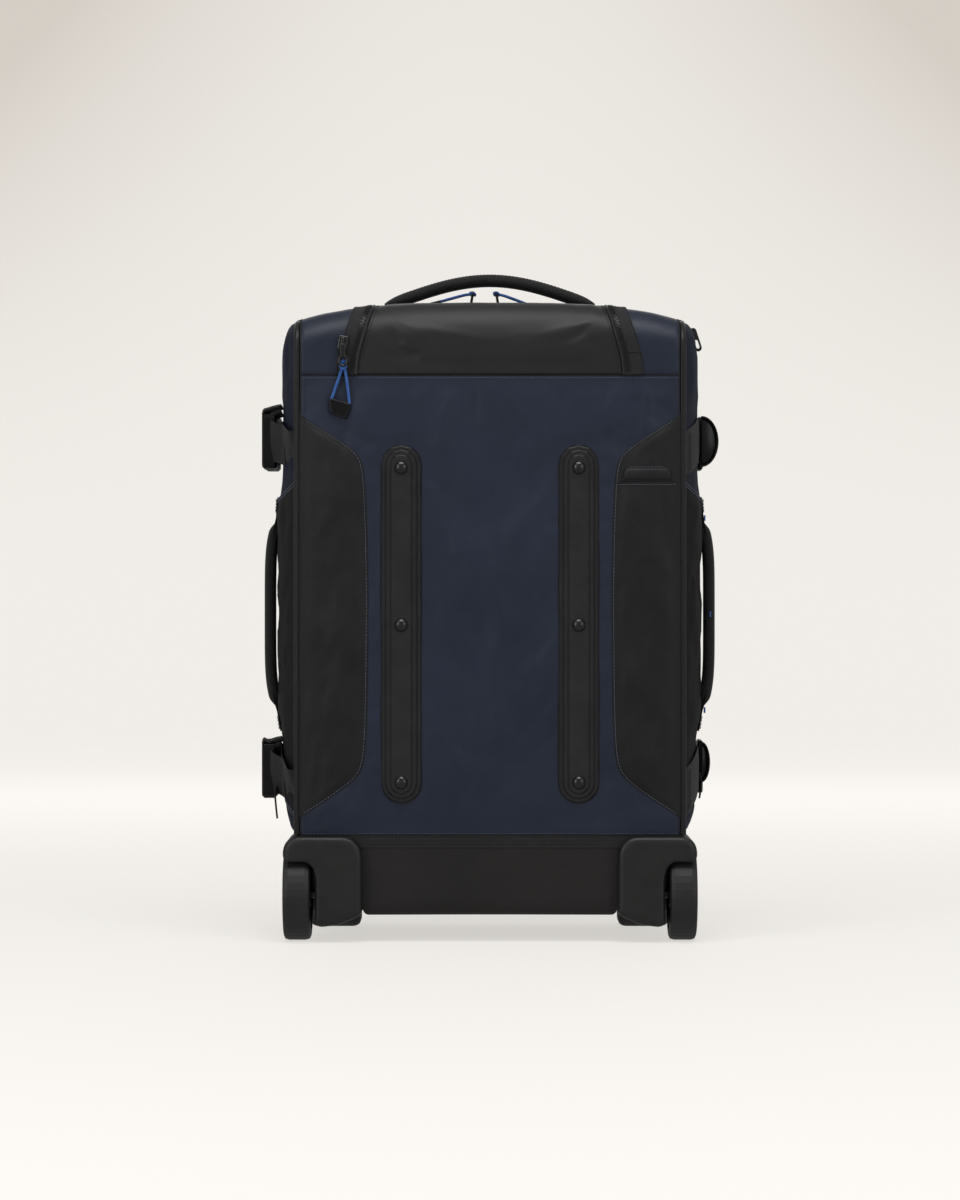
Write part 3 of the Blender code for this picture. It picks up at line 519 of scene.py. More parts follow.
def lozenge(size, round_by, name, finish, body, place, node_names=(), segments=4):
    """A small moulded piece: a box of this size with well rounded edges, put in place by a matrix."""
    bm = bmesh.new()
    bmesh.ops.create_cube(bm, size=1.0)
    for vert in bm.verts:
        vert.co = Vector([vert.co[k] * size[k] * MM for k in range(3)])
    bmesh.ops.bevel(
        bm, geom=bm.edges[:], offset=round_by * MM, segments=segments, profile=0.6, affect="EDGES"
    )
    mesh = bpy.data.meshes.new(name)
    bm.to_mesh(mesh)
    bm.free()
    mesh.shade_smooth()
    mesh.set_sharp_from_angle(angle=math.radians(40))
    mesh.materials.append(finish)
    obj = bpy.data.objects.new(name, mesh)
    bpy.context.scene.collection.objects.link(obj)
    obj.matrix_world = place
    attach(obj, body)
    if node_names:
        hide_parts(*node_names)
    return obj


def at(x, y, z, turn=0.0, axis="Y"):
    return Matrix.Translation(Vector((x, y, z)) * MM) @ Matrix.Rotation(turn, 4, axis)


def paint(finish, *names):
    for name in names:
        for slot in NODES[name].material_slots:
            slot.material = finish


# ---------- The bag's surface ----------

HOOP_UP = TOP_Z - TOP_RADIUS - SEAM_Z
HOOP_ARC = TOP_RADIUS * math.pi / 2
HOOP_TOP = FRONT_Y - BACK_Y - 2 * TOP_RADIUS
FRONT_ARC_END = HOOP_UP + 2 * HOOP_ARC + HOOP_TOP


def hoop(distance, x, lift=0.0):
    """The surface over the bag's top, from the cover's seam up the back, over, and down the front."""
    d, radius = distance, TOP_RADIUS
    if d < HOOP_UP:
        y, z, out = BACK_Y, SEAM_Z + d, (-1.0, 0.0)
    elif d < HOOP_UP + HOOP_ARC:
        turn = (d - HOOP_UP) / radius
        out = (-math.cos(turn), math.sin(turn))
        y, z = BACK_Y + radius * (1 + out[0]), TOP_Z - radius * (1 - out[1])
    elif d < HOOP_UP + HOOP_ARC + HOOP_TOP:
        y, z, out = BACK_Y + radius + d - HOOP_UP - HOOP_ARC, TOP_Z, (0.0, 1.0)
    elif d < FRONT_ARC_END:
        turn = (d - HOOP_UP - HOOP_ARC - HOOP_TOP) / radius
        out = (math.sin(turn), math.cos(turn))
        y, z = FRONT_Y - radius * (1 - out[0]), TOP_Z - radius * (1 - out[1])
    else:
        y, z, out = FRONT_Y, TOP_Z - radius - (d - FRONT_ARC_END), (1.0, 0.0)
    sink = TOP_DROP * (abs(x) / HALF_WIDTH) ** 4 * smooth((z - SEAM_Z) / (TOP_Z - SEAM_Z))
    return x, y + out[0] * lift, z - sink + out[1] * lift


def hoop_out(distance):
    """The direction out of the hoop at a distance round it."""
    near, far = Vector(hoop(distance, 0.0)), Vector(hoop(distance, 0.0, 1.0))
    return far - near


def distance_on_top(y):
    return HOOP_UP + HOOP_ARC + y - BACK_Y - TOP_RADIUS


def side_bulge(across, z):
    up = (z - SIDE_BOTTOM) / (SIDE_TOP - SIDE_BOTTOM) * 2 - 1
    return (
        SIDE_BULGE * max(0.0, 1 - abs(across) ** 2.4) ** 0.8
        * max(0.0, 1 - abs(up) ** (22 if up > 0 else 12)) ** 0.35
    )


def lens_swell(across, z):
    """How much further the lens between the two straps stands out."""
    return LENS_SWELL * max(0.0, 1 - abs(across) ** 2) * smooth((z - 168) / 40) * smooth((404 - z) / 26)


def side_half(z):
    """Half the depth of an end panel at a height: less where its top corners are round."""
    above = z - (TOP_Z - TOP_DROP - TOP_RADIUS)
    if above <= 0:
        return SIDE_RIM
    return SIDE_RIM - TOP_RADIUS + math.sqrt(max(0.0, TOP_RADIUS**2 - above**2))


def side_surface_x(y, z):
    across = min(1.0, abs(y) / SIDE_RIM)
    return HALF_WIDTH + side_bulge(across, z) + lens_swell(across, z)


def cover_half(d):
    return COVER_HALF_LOW + (COVER_HALF_HIGH - COVER_HALF_LOW) * smooth(d / (HOOP_UP + HOOP_ARC))


# ---------- Camera, light and floor ----------

CAMERA_AT, CAMERA_LENS = (-0.0086, -3.298, 0.295), 111.3


def pale_world():
    """Behind the bag the camera sees a pale, even backdrop, and the bag itself is lit by a dimmer sky."""
    world = bpy.data.worlds.new("studio")
    world.use_nodes = True
    tree = world.node_tree
    seen, lit = tree.nodes["Background"], tree.nodes.new("ShaderNodeBackground")
    seen.inputs["Color"].default_value = BACKDROP
    where = tree.nodes.new("ShaderNodeTexCoord").outputs["Generated"]
    height = tree.nodes.new("ShaderNodeSeparateXYZ")
    tree.links.new(where, height.inputs[0])
    # Painted shade on the backdrop: it darkens upwards, and more so to the sides
    rise = tree.nodes.new("ShaderNodeVectorMath")
    rise.operation = "MULTIPLY"
    tree.links.new(where, rise.inputs[0])
    tree.links.new(where, rise.inputs[1])
    squares = tree.nodes.new("ShaderNodeSeparateXYZ")
    tree.links.new(rise.outputs[0], squares.inputs[0])

    def sum_of(operation, *terms):
        node = tree.nodes.new("ShaderNodeMath")
        node.operation = operation
        for number, term in enumerate(terms):
            if isinstance(term, float):
                node.inputs[number].default_value = term
            else:
                tree.links.new(term, node.inputs[number])
        return node.outputs[0]

    above = sum_of("MAXIMUM", height.outputs["Z"], 0.0)
    spread_out = sum_of("MULTIPLY_ADD", squares.outputs["X"], 60.0, 0.25)
    shade = sum_of("MULTIPLY", sum_of("MULTIPLY", above, sum_of("MULTIPLY", above, 42.0)), spread_out)
    ramp = tree.nodes.new("ShaderNodeValToRGB")
    ramp.color_ramp.elements[0].position, ramp.color_ramp.elements[0].color = 0.0, BACKDROP
    ramp.color_ramp.elements[1].position, ramp.color_ramp.elements[1].color = 1.0, BACKDROP_HIGH
    tree.links.new(shade, ramp.inputs["Fac"])
    tree.links.new(ramp.outputs["Color"], seen.inputs["Color"])
    lit.inputs["Color"].default_value = (1.0, 0.985, 0.97, 1.0)
    lit.inputs["Strength"].default_value = SKY
    mix, rays = tree.nodes.new("ShaderNodeMixShader"), tree.nodes.new("ShaderNodeLightPath")
    tree.links.new(rays.outputs["Is Camera Ray"], mix.inputs["Fac"])
    tree.links.new(lit.outputs[0], mix.inputs[1])
    tree.links.new(seen.outputs[0], mix.inputs[2])
    tree.links.new(mix.outputs[0], tree.nodes["World Output"].inputs["Surface"])
    return world


def paper_floor():
    """A pale floor that thins out into the backdrop, so that no edge shows, and glows with painted light in
    the backdrop's colour.
    """
    bm = bmesh.new()
    bmesh.ops.create_circle(bm, cap_ends=True, segments=96, radius=FLOOR_END)
    mesh = bpy.data.meshes.new("floor")
    bm.to_mesh(mesh)
    bm.free()
    n = Nodes("paper floor", 0.8)
    place = n.coordinates()
    grain = n.noise(place, 3.0, 3.0)
    far = n.add("ShaderNodeVectorMath", [(0, place)], operation="LENGTH").outputs["Value"]
    fade = n.add("ShaderNodeMapRange", [("Value", far)], interpolation_type="SMOOTHSTEP").outputs["Result"]
    limits = fade.node.inputs
    limits["From Min"].default_value, limits["From Max"].default_value = FLOOR_FADE, FLOOR_END - 0.1
    limits["To Min"].default_value, limits["To Max"].default_value = 1.0, 0.0
    n.tree.links.new(fade, n.shader.inputs["Alpha"])
    # Painted light: the floor glows in the backdrop's colour, more so further out
    glow = n.add("ShaderNodeMapRange", [("Value", far)], interpolation_type="SMOOTHSTEP").outputs["Result"]
    limits = glow.node.inputs
    limits["From Min"].default_value, limits["From Max"].default_value = 0.3, 2.6
    limits["To Min"].default_value, limits["To Max"].default_value = FLOOR_GLOW
    n.tree.links.new(glow, n.shader.inputs["Emission Strength"])
    n.shader.inputs["Emission Color"].default_value = BACKDROP
    floor_colour = n.mix_colour(grain, FLOOR_TONE, tuple(c * 1.02 for c in FLOOR_TONE))
    mesh.materials.append(n.finish(floor_colour, Specular_IOR_Level=0.1))
    obj = bpy.data.objects.new("floor", mesh)
    bpy.context.scene.collection.objects.link(obj)
    obj.visible_glossy = False


BACKDROP = (0.875, 0.85, 0.81, 1.0)
BACKDROP_HIGH = (0.67, 0.62, 0.565, 1.0)
SKY = 0.30
FLOOR_FADE, FLOOR_END, FLOOR_TONE, FLOOR_GLOW = 2.2, 5.5, (0.36, 0.353, 0.347), (0.70, 0.88)
LIGHTS = (
    # name, place, size, power
    ("top", (0.0, -0.9, 2.3), (1.6, 1.2), 25.0),
    ("left", (-1.9, -2.3, 1.1), (0.6, 1.8), 13.5),
    ("right", (1.9, -2.3, 1.1), (0.6, 1.8), 9.0),
    ("behind", (0.0, 2.6, 1.5), (2.4, 1.0), 9.0),
)


def studio():
    scene = bpy.context.scene
    camera = bpy.data.objects.new("camera", bpy.data.cameras.new("camera"))
    scene.collection.objects.link(camera)
    camera.data.lens = CAMERA_LENS
    camera.location = CAMERA_AT
    camera.rotation_euler = (math.pi / 2, 0.0, 0.0)
    scene.camera = camera
    scene.view_settings.view_transform = "Standard"
    scene.world = pale_world()
    for name, place, size, power in LIGHTS:
        light = bpy.data.lights.new(name, "AREA")
        light.shape, light.size, light.size_y, light.energy = "RECTANGLE", *size, power
        obj = bpy.data.objects.new(name, light)
        scene.collection.objects.link(obj)
        obj.location = place
        obj.rotation_euler = (Vector((0.0, 0.0, 0.28)) - Vector(place)).to_track_quat("-Z", "Y").to_euler()
    paper_floor()


studio()


# ---------- Back ----------

WING_IN, WING_TOP, WING_BOTTOM = 105.2, 455.5, 106.0
WING_SLOPE_TOP, WING_SLOPE_BOTTOM = 1.66, 1.61
WING_MIDDLE, WING_ROUND_TOP, WING_ROUND_BOTTOM = 282.0, 14.0, 18.0
PIPING_X = 163.8


def soft_most(first, second, width):
    """The larger of two numbers, rounded over where they are close."""
    return (first + second + math.sqrt((first - second) ** 2 + width**2)) / 2


def wing_edge(z):
    """How far from the centre a wing's inner edge is at a height."""
    above = z - WING_MIDDLE
    side = WING_IN + (1.4 if above > 0 else 0.5) * (above / 100) ** 2
    if above > 0:
        return min(PIPING_X, soft_most(side, HALF_WIDTH - WING_SLOPE_TOP * (WING_TOP - z), WING_ROUND_TOP))
    return min(
        PIPING_X, soft_most(side, HALF_WIDTH - WING_SLOPE_BOTTOM * (z - WING_BOTTOM), WING_ROUND_BOTTOM)
    )


def back_skin(x, z):
    """The back's fabric: nearly flat, with slack between the rails and towards the edges."""
    edge = smooth((PIPING_X - abs(x)) / 26) * smooth((z - BASE_TOP) / 26) * smooth((SEAM_Z - z) / 20)
    rail = 1 - math.exp(-(((abs(x) - RAIL_X) / 26) ** 2))
    lift = edge * (0.9 + 0.5 * rail + wrinkle((x, 0, z * 0.5), 38, 1.9 * rail + 0.3, 1.0))
    return BACK_Y - 0.1 - max(0.0, lift)


def back_panel():
    us, vs = spread(-163.5, 163.5, 96), spread(92.3, SEAM_Z + 0.5, 112)
    sheet = grid(
        "back_fabric", us, vs, lambda x, z: (x, back_skin(x, z), z), NAVY, "bag", ["back_panel"], 2.0,
        (0, -1, 0)
    )

    def free(x, y, z):
        beside_rail = (
            smooth((abs(abs(x) - RAIL_X) - RAIL_HALF - 0.5) / 5) if RAIL_LOW - 6 < z < RAIL_HIGH + 6
            else 1.0
        )
        return (
            beside_rail * smooth((wing_edge(z) - 2.0 - abs(x)) / 5) * smooth((SEAM_Z - 6 - z) / 12)
            * smooth((z - BASE_TOP - 5) / 10)
        )

    relax(sheet, free, 0.45)
    cut_sheet(sheet, "stretched", "frame_board")
    for side, word in ((-1, "left"), (1, "right")):

        def wing(u, z):
            x = wing_edge(z) + u * (PIPING_X + 0.6 - wing_edge(z))
            near_edge = (
                smooth(u * (PIPING_X - wing_edge(z)) / 12)
                * smooth((1 - u) * (PIPING_X - wing_edge(z)) / 12)
            )
            puff = near_edge * (1.3 + wrinkle((x, 5, z * 0.6), 34, 1.5, 3.0 + side))
            return side * x, back_skin(side * x, z) - 0.55 - puff, z

        heights = spread(WING_BOTTOM + 0.5, WING_TOP - 0.5, 120)
        sheet = grid(f"wing_{word}", spread(0, 1, 26), heights, wing, BLACK, "bag", (), 1.1, (0, -1, 0))
        cut_sheet(sheet, "stretched", "frame_board")
        chunks = []
        for inset in (0.9,):
            line = []
            for z in spread(WING_BOTTOM + 4 + inset, WING_TOP - 4 - inset, 130):
                x = min(wing_edge(z) + inset * 1.25, PIPING_X - 1)
                line.append((side * x, back_skin(side * x, z) - 0.72, z))
            chunks += stitch_data(line, lambda p: (0, -1, 0), 3.0, 2.0, 0.3)
        merged(f"wing_stitches_{word}", chunks, THREAD, "bag")
        edge = [
            (side * (wing_edge(z) - 0.25), back_skin(side * wing_edge(z), z) - 0.2, z)
            for z in spread(WING_BOTTOM + 1, WING_TOP - 1, 120)
        ]
        pipe(f"wing_edge_{word}", edge, 0.4, BINDING, "bag", sides=6)
    line = [(x, back_skin(x, SEAM_Z - 2.4) - 0.3, SEAM_Z - 2.4) for x in spread(-162, 162, 80)]
    merged("cover_seam_stitches", stitch_data(line, lambda p: (0, -1, 0), 3.0, 1.9, 0.27), THREAD, "bag")
    pipe(
        "cover_seam", [(x, BACK_Y - 0.2, SEAM_Z) for x in spread(-163, 163, 60)], 0.42, BINDING, "bag",
        sides=6
    )
    welt_pocket()


def welt_pocket():
    """The slit pocket on the right wing: a padded welt with round ends above a dark slit, whose black tube is
    painted shade in the pocket's opening.
    """
    low, high, left, right, seam = 399.2, 408.6, 114.0, 157.5, 396.8

    def front(x, z, lift):
        u = (x - wing_edge(z)) / (PIPING_X + 0.6 - wing_edge(z))
        return back_skin(x, z) - 0.75 - 1.4 * smooth(u * 57 / 12) * smooth((1 - u) * 57 / 12) - lift

    def welt(u, v):
        half = (right - left) / 2 - 4.5 * (1 - math.sqrt(max(0.0, 1 - v**2)))
        x, z = (left + right) / 2 + u * half, low + v * (high - low)
        dome = math.sqrt(max(0.0, 1 - (1.6 * v - 0.6) ** 2)) * (1 - abs(u) ** 14) ** 0.5
        return x, front(x, z, 0.5 + 1.7 * dome), z

    grid("welt", spread(-1, 1, 30), spread(0, 1, 12), welt, BLACK, "bag", (), 0.8, (0, -1, 0))
    # A black tube under the welt: painted shade in the slit's opening
    slit = [(x, front(x, low - 0.7, 0.45), low - 0.7) for x in spread(left - 0.5, right + 0.5, 24)]
    pipe("welt_slit_shade", slit, 0.95, BINDING, "bag", sides=8)
    chunks = []
    for a, b in ((wing_edge(seam) + 0.5, left + 0.5), (right - 0.5, 162.5)):
        line = [(x, front(x, seam, 0.05), seam + 1.0 * (1 if a > 120 else 0)) for x in spread(a, b, 6)]
        pipe(f"welt_seam_{'right' if a > 120 else 'left'}", line, 0.5, BINDING, "bag", sides=6)
    for z, a, b in ((seam - 2.2, wing_edge(seam) + 1.5, 162.0), (high + 1.0, left + 6, right - 6)):
        chunks += stitch_data(
            [(x, front(x, z, 0.2), z) for x in spread(a, b, 30)], lambda p: (0, -1, 0), 3.0, 2.0, 0.26
        )
    merged("welt_stitches", chunks, THREAD, "bag")


# ---------- Top, cover and zips ----------


def on_hoop(path, lift):
    """Points (x, distance round the hoop) put on the bag's surface."""
    return [hoop(d, x, lift) for x, d in path]


def ribbon_on_hoop(name, path, width, lift, finish, body, cross=5, crown=0.0):
    """A flat band along a path of (x, distance), lying on the bag's surface."""
    path = [Vector((x, d)) for x, d in path]

    def place(k, v):
        k = int(round(k))
        ahead = path[min(k + 1, len(path) - 1)] - path[max(k - 1, 0)]
        ahead.normalize()
        x, d = path[k] + Vector((-ahead.y, ahead.x)) * (v * width / 2)
        return hoop(d, x, lift + crown * (1 - v * v))

    return grid(name, list(range(len(path))), spread(-1, 1, cross), place, finish, body)


def zip_teeth(name, path, lift, body, pitch=1.7, gauge=1.5, finish=None):
    """A closed coil zip along a path of (x, distance): rounded teeth that meet at the middle."""
    chunks = []
    dots = resampled([Vector((x, d, 0.0)) for x, d in path], pitch)
    for k, (a, b) in enumerate(zip(dots, dots[1:])):
        ahead = (b - a).normalized()
        out = hoop_out(a.y)
        across = Vector((-ahead.y, ahead.x, 0.0))
        centre = Vector(hoop(a.y, a.x, lift))
        tip = Vector(hoop(a.y + across.y * gauge, a.x + across.x * gauge, lift))
        tail = Vector(hoop(a.y - across.y * gauge, a.x - across.x * gauge, lift))
        shift = 0.35 * gauge * (1 if k % 2 else -1)
        line = (tip - tail).normalized()
        along = line.cross(out).normalized()
        verts, faces, uvs = [], [], []
        for end in (-1, 1):
            for s in range(4):
                angle = math.pi / 4 + math.pi / 2 * s
                verts.append(
                    centre + line * (end * gauge + shift) + along * (0.62 * math.cos(angle))
                    + out * (0.6 * math.sin(angle))
                )
                uvs.append((s, end))
        faces += [(s, (s + 1) % 4, 4 + (s + 1) % 4, 4 + s) for s in range(4)] + [(3, 2, 1, 0), (4, 5, 6, 7)]
        chunks.append((verts, faces, uvs))
    return merged(name, chunks, finish or COIL, body)


def rounded_path(corners, radius, steps=6, spacing=6.0):
    """Straight runs between 2-D corners, with the inner corners rounded."""
    corners = [Vector(c) for c in corners]
    result = [corners[0]]
    for before, here, after in zip(corners, corners[1:], corners[2:]):
        into, away = (before - here).normalized(), (after - here).normalized()
        half = into.angle(away) / 2
        reach = radius / math.tan(half)
        start, finish = here + into * reach, here + away * reach
        centre = here + (into + away).normalized() * (radius / math.sin(half))
        first, last = start - centre, finish - centre
        turn = first.angle_signed(last)
        for k in range(steps + 1):
            arm = first.copy()
            arm.rotate(Matrix.Rotation(-turn * k / steps, 2))
            result.append(centre + arm)
    result.append(corners[-1])
    dense = []
    for a, b in zip(result, result[1:]):
        count = max(1, int((b - a).length / spacing))
        dense += [a.lerp(b, k / count) for k in range(count)]
    return dense + [result[-1]]


def cover_outline(out_by, corner=14.0):
    """The U that runs round the handle cover, out_by beyond its edge, as (x, distance)."""
    top = distance_on_top(COVER_FRONT_Y) + out_by
    high = COVER_HALF_HIGH + out_by
    left = [(-cover_half(d) - out_by, d) for d in spread(0.5, HOOP_UP + HOOP_ARC - 2, 14)]
    over = rounded_path([left[-1], (-high, top), (high, top), (-left[-1][0], left[-1][1])], corner)
    return left[:-1] + [tuple(p) for p in over] + [(-x, d) for x, d in reversed(left[:-1])]


def top_skin(x, d):
    """How far the top's fabric lifts off its CAD surface."""
    body = smooth((163 - abs(x)) / 20) * smooth(d / 12)
    return 0.25 + body * max(0.0, 0.5 + wrinkle((x, d, 0), 52, 0.8, 5.0))


def top_and_cover():
    """The top, cut round the cover's hole and the lid's: strips that stop at their edges, and the cover."""

    def top(x, d):
        return hoop(d, x, top_skin(x, d))

    def beside_cover(side):
        def place(u, d):
            inner = cover_half(d) + 1.0
            return top(side * (inner + u * (163.4 - inner)), d)

        return place

    lid_end, front_end = distance_on_top(LID_BACK_Y), FRONT_ARC_END + 14
    cover_end = distance_on_top(COVER_FRONT_Y) + 1.2
    for side, word in ((-1, "left"), (1, "right")):
        rows = (
            spread(0.5, HOOP_UP, 6)[:-1] + spread(HOOP_UP, HOOP_UP + HOOP_ARC, 12)[:-1]
            + spread(HOOP_UP + HOOP_ARC, cover_end, 4)
        )
        nodes = ["top_panel"] if side < 0 else ()
        grid(
            f"top_corner_{word}", spread(0, 1, 12), rows, beside_cover(side), NAVY, "bag", nodes, 2.0,
            (0, -1, 1)
        )

        def beside_lid(u, d):
            from_end, narrow = d - lid_end, 0.0
            corner = LID_CORNER + 2
            if from_end < corner:
                narrow = corner - math.sqrt(max(0.0, corner**2 - (corner - max(from_end, 0.0)) ** 2))
            inner = LID_HALF + 2 - narrow
            return top(side * (inner + u * (163.4 - inner)), d)

        rows = [lid_end - 2 + 1.0 * k for k in range(8)] + spread(lid_end + 6, front_end, 30)
        grid(f"lid_corner_{word}", spread(0, 1, 14), rows, beside_lid, NAVY, "bag", (), 2.0, (0, 1, 1))
    sheet = grid(
        "top_fabric", spread(-163.4, 163.4, 60), spread(cover_end, lid_end - 2, 24), top, NAVY, "bag", (),
        2.0, (0, 0, 1)
    )
    cut_sheet(sheet, "stretched", "handle_recess")

    def cover(u, d):
        crown = 2.4 * smooth((d - HOOP_UP) / 40) * (1 - u**4)
        lift = 0.5 + smooth((1 - abs(u)) * 6) * (0.6 + crown + wrinkle((u * 100, d, 9), 40, 0.5, 8.0))
        return hoop(d, u * cover_half(d), lift)

    rows = spread(1.0, HOOP_UP, 12)[:-1] + spread(HOOP_UP, HOOP_UP + HOOP_ARC, 18)[:-1]
    rows += spread(HOOP_UP + HOOP_ARC, distance_on_top(COVER_FRONT_Y), 6)
    soft = grid(
        "cover_fabric", spread(-1, 1, 56), rows, cover, SATIN, None, ["handle_cover"], 1.6, (0, -1, 1)
    )

    def free(x, y, z):
        across = smooth((COVER_HALF_HIGH - 10 - abs(x)) / 14)
        return across * smooth((z - SEAM_Z - 6) / 14) * smooth((-62 - y) / 10)

    relax(soft, free, 1.0)
    cut_sheet(soft, "stretched", "handle_recess")
    trim = pipe("cover_piping", on_hoop(cover_outline(-1.4, 8.0), 1.1), 1.7, PIPING, None)
    arc_y, arc_z = BACK_Y + TOP_RADIUS, TOP_Z - TOP_RADIUS

    def outward(p):
        if p.z < arc_z:
            return 0, -1, 0
        return (0, p.y - arc_y, p.z - arc_z) if p.y < arc_y else (0, 0, 1)

    rows = stitch_data(on_hoop(cover_outline(-5.0, 8.0), 1.45), outward, 3.2, 2.2, 0.3)
    stitches = merged("cover_stitches", rows, DARK_THREAD, None)
    for part in (soft, trim, stitches):
        if part.modifiers:
            graph = bpy.context.evaluated_depsgraph_get()
            part.data = bpy.data.meshes.new_from_object(part.evaluated_get(graph))
            part.modifiers.clear()
        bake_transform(part)
    cover_zip()


def cover_zip():
    """The zip round the cover: a tape with its coil on it, and a plain strip outside it."""
    ribbon_on_hoop("cover_zip_tape", cover_outline(7.6, 14.0), 14.5, 2.0, TAPE, "bag", 6)
    zip_teeth("cover_zip_teeth", cover_outline(2.6, 12.0), 2.3, "bag")
    chunks = []
    for out_by in (6.4, 13.4):
        line = on_hoop(cover_outline(out_by, 15.0), 2.15)
        chunks += stitch_data(line, lambda p: (0, -1, 0.2) if p.z < 530 else (0, -0.3, 1), 3.2, 2.2, 0.3)
    merged("cover_zip_stitches", chunks, DARK_THREAD, "bag")
    pipe("cover_zip_edge", on_hoop(cover_outline(15.2, 16.0), 1.6), 0.8, BINDING, "bag", sides=6)
    band = [(x, 21.0) for x in spread(119.5, 130.5, 6)]
    pipe("zip_strip_seam", on_hoop(band, 2.1), 0.6, BINDING, "bag", sides=6)


# ---------- Sides ----------


def lens_top(u):
    return 386.0 + 14.0 * abs(u) ** 2.2


def lens_bottom(u):
    return 118.0 - 14.0 * abs(u) ** 2.2


def side_point(side, u, z, lift=0.0):
    """A point on an end panel: u runs from the back piping line to the front one."""
    half = side_half(z)
    y = u * (half + 1.6)
    bulge = side_bulge(u * 0.98, min(z, SIDE_TOP - 0.5)) + lens_swell(u, z)
    slack = wrinkle((side * 40, y, z * 0.6), 44, 1.3, 11.0 + side) * smooth((1 - abs(u)) * 4)
    return side * (HALF_WIDTH - 0.6 + bulge + max(-0.5, slack) + 0.4 + lift), y, z


def sides():
    us = spread(-1, 1, 40)
    counts = (14, 34, 22)
    for side, word in ((-1, "left"), (1, "right")):

        def place(u, row):
            stops = (SIDE_BOTTOM - 1, lens_bottom(u), lens_top(u), SIDE_TOP + 0.6)
            k, start = 0, 0
            while k < 2 and row > start + counts[k]:
                start += counts[k]
                k += 1
            t = (row - start) / counts[k]
            if k == 2:
                t = 1 - (1 - t) ** 1.6
            z = stops[k] + (stops[k + 1] - stops[k]) * t
            seam = math.exp(-(((z - stops[1]) / 2.2) ** 2)) + math.exp(-(((z - stops[2]) / 2.2) ** 2))
            return side_point(side, u, z, -0.9 * seam)

        def zone(row, column):
            return 1 if counts[0] <= row < counts[0] + counts[1] else 0

        rows = list(range(sum(counts) + 1))
        node = f"side_panel_{word}"
        sheet = grid(
            f"side_fabric_{word}", us, rows, place, [SIDE_NAVY, SIDE_BLACK], "bag", [node], 2.0,
            (side, 0, 0), zone
        )

        def free(x, y, z):
            straps = min(
                smooth((abs(z - STRAP_Z[level] + STRAP_DROP[level] / 2) - 34) / 10) for level in STRAP_Z
            )
            anchors = 1.0 if abs(y) > 24 or not 168 < z < 398 else smooth((abs(y) - 17) / 6)
            seams = smooth((abs(z - lens_top(y / SIDE_RIM)) - 7) / 6)
            return (
                straps * anchors * seams * smooth((SIDE_RIM - 6 - abs(y)) / 12)
                * smooth((SIDE_TOP - 8 - z) / 12)
            )

        relax(sheet, free, 1.1)
        cut_sheet(sheet, "stretched", "base_tray")
        chunks = []
        for seam, way in ((lens_top, 1), (lens_bottom, -1)):
            for off in (2.6, 5.4):
                line = [side_point(side, u, seam(u) - way * off, 0.15) for u in spread(-0.97, 0.97, 60)]
                chunks += stitch_data(line, lambda p, side=side: (side, 0, 0), 3.2, 2.2, 0.33)
        merged(f"side_stitches_{word}", chunks, THREAD, "bag")
        piping(side, word)


def piping(side, word):
    """The piping round an end panel, over the back, the top and the front."""
    x, reach = PIPING_X + 2.7, 2.9
    arch = [hoop(d, x, -reach + 0.2) for d in spread(0.0, FRONT_ARC_END, 70)]
    back = [(x, BACK_Y + reach - 0.2, z) for z in spread(BASE_TOP + 1, SEAM_Z, 26)]
    front = [(x, FRONT_Y - reach + 0.2, z) for z in spread(arch[-1][2] - 6, BASE_TOP + 1, 26)]
    path = [(side * px, y, z) for px, y, z in back[:-1] + arch + front]
    pipe(f"piping_{word}", path, reach, PIPING, "bag", sides=12)
    # A thin dark line in the crease beside the piping: painted shade
    crease = [(PIPING_X - 0.3, BACK_Y - 0.25, z) for z in spread(BASE_TOP + 1, SEAM_Z, 26)][:-1]
    crease += [hoop(d, PIPING_X - 0.3, 0.3) for d in spread(0.0, FRONT_ARC_END, 70)]
    pipe(f"piping_crease_shade_{word}", [(side * px, y, z) for px, y, z in crease], 0.55, BINDING, "bag", sides=6)
    beside = side * (PIPING_X - 3.4)
    line = [(beside, back_skin(beside, z) - 0.2, z) for z in spread(BASE_TOP + 1, SEAM_Z, 26)]
    chunks = stitch_data(line, lambda p: (0, -1, 0), 3.2, 2.2, 0.32)
    merged(f"piping_stitches_{word}", chunks, DARK_THREAD, "bag")


# ---------- Base ----------


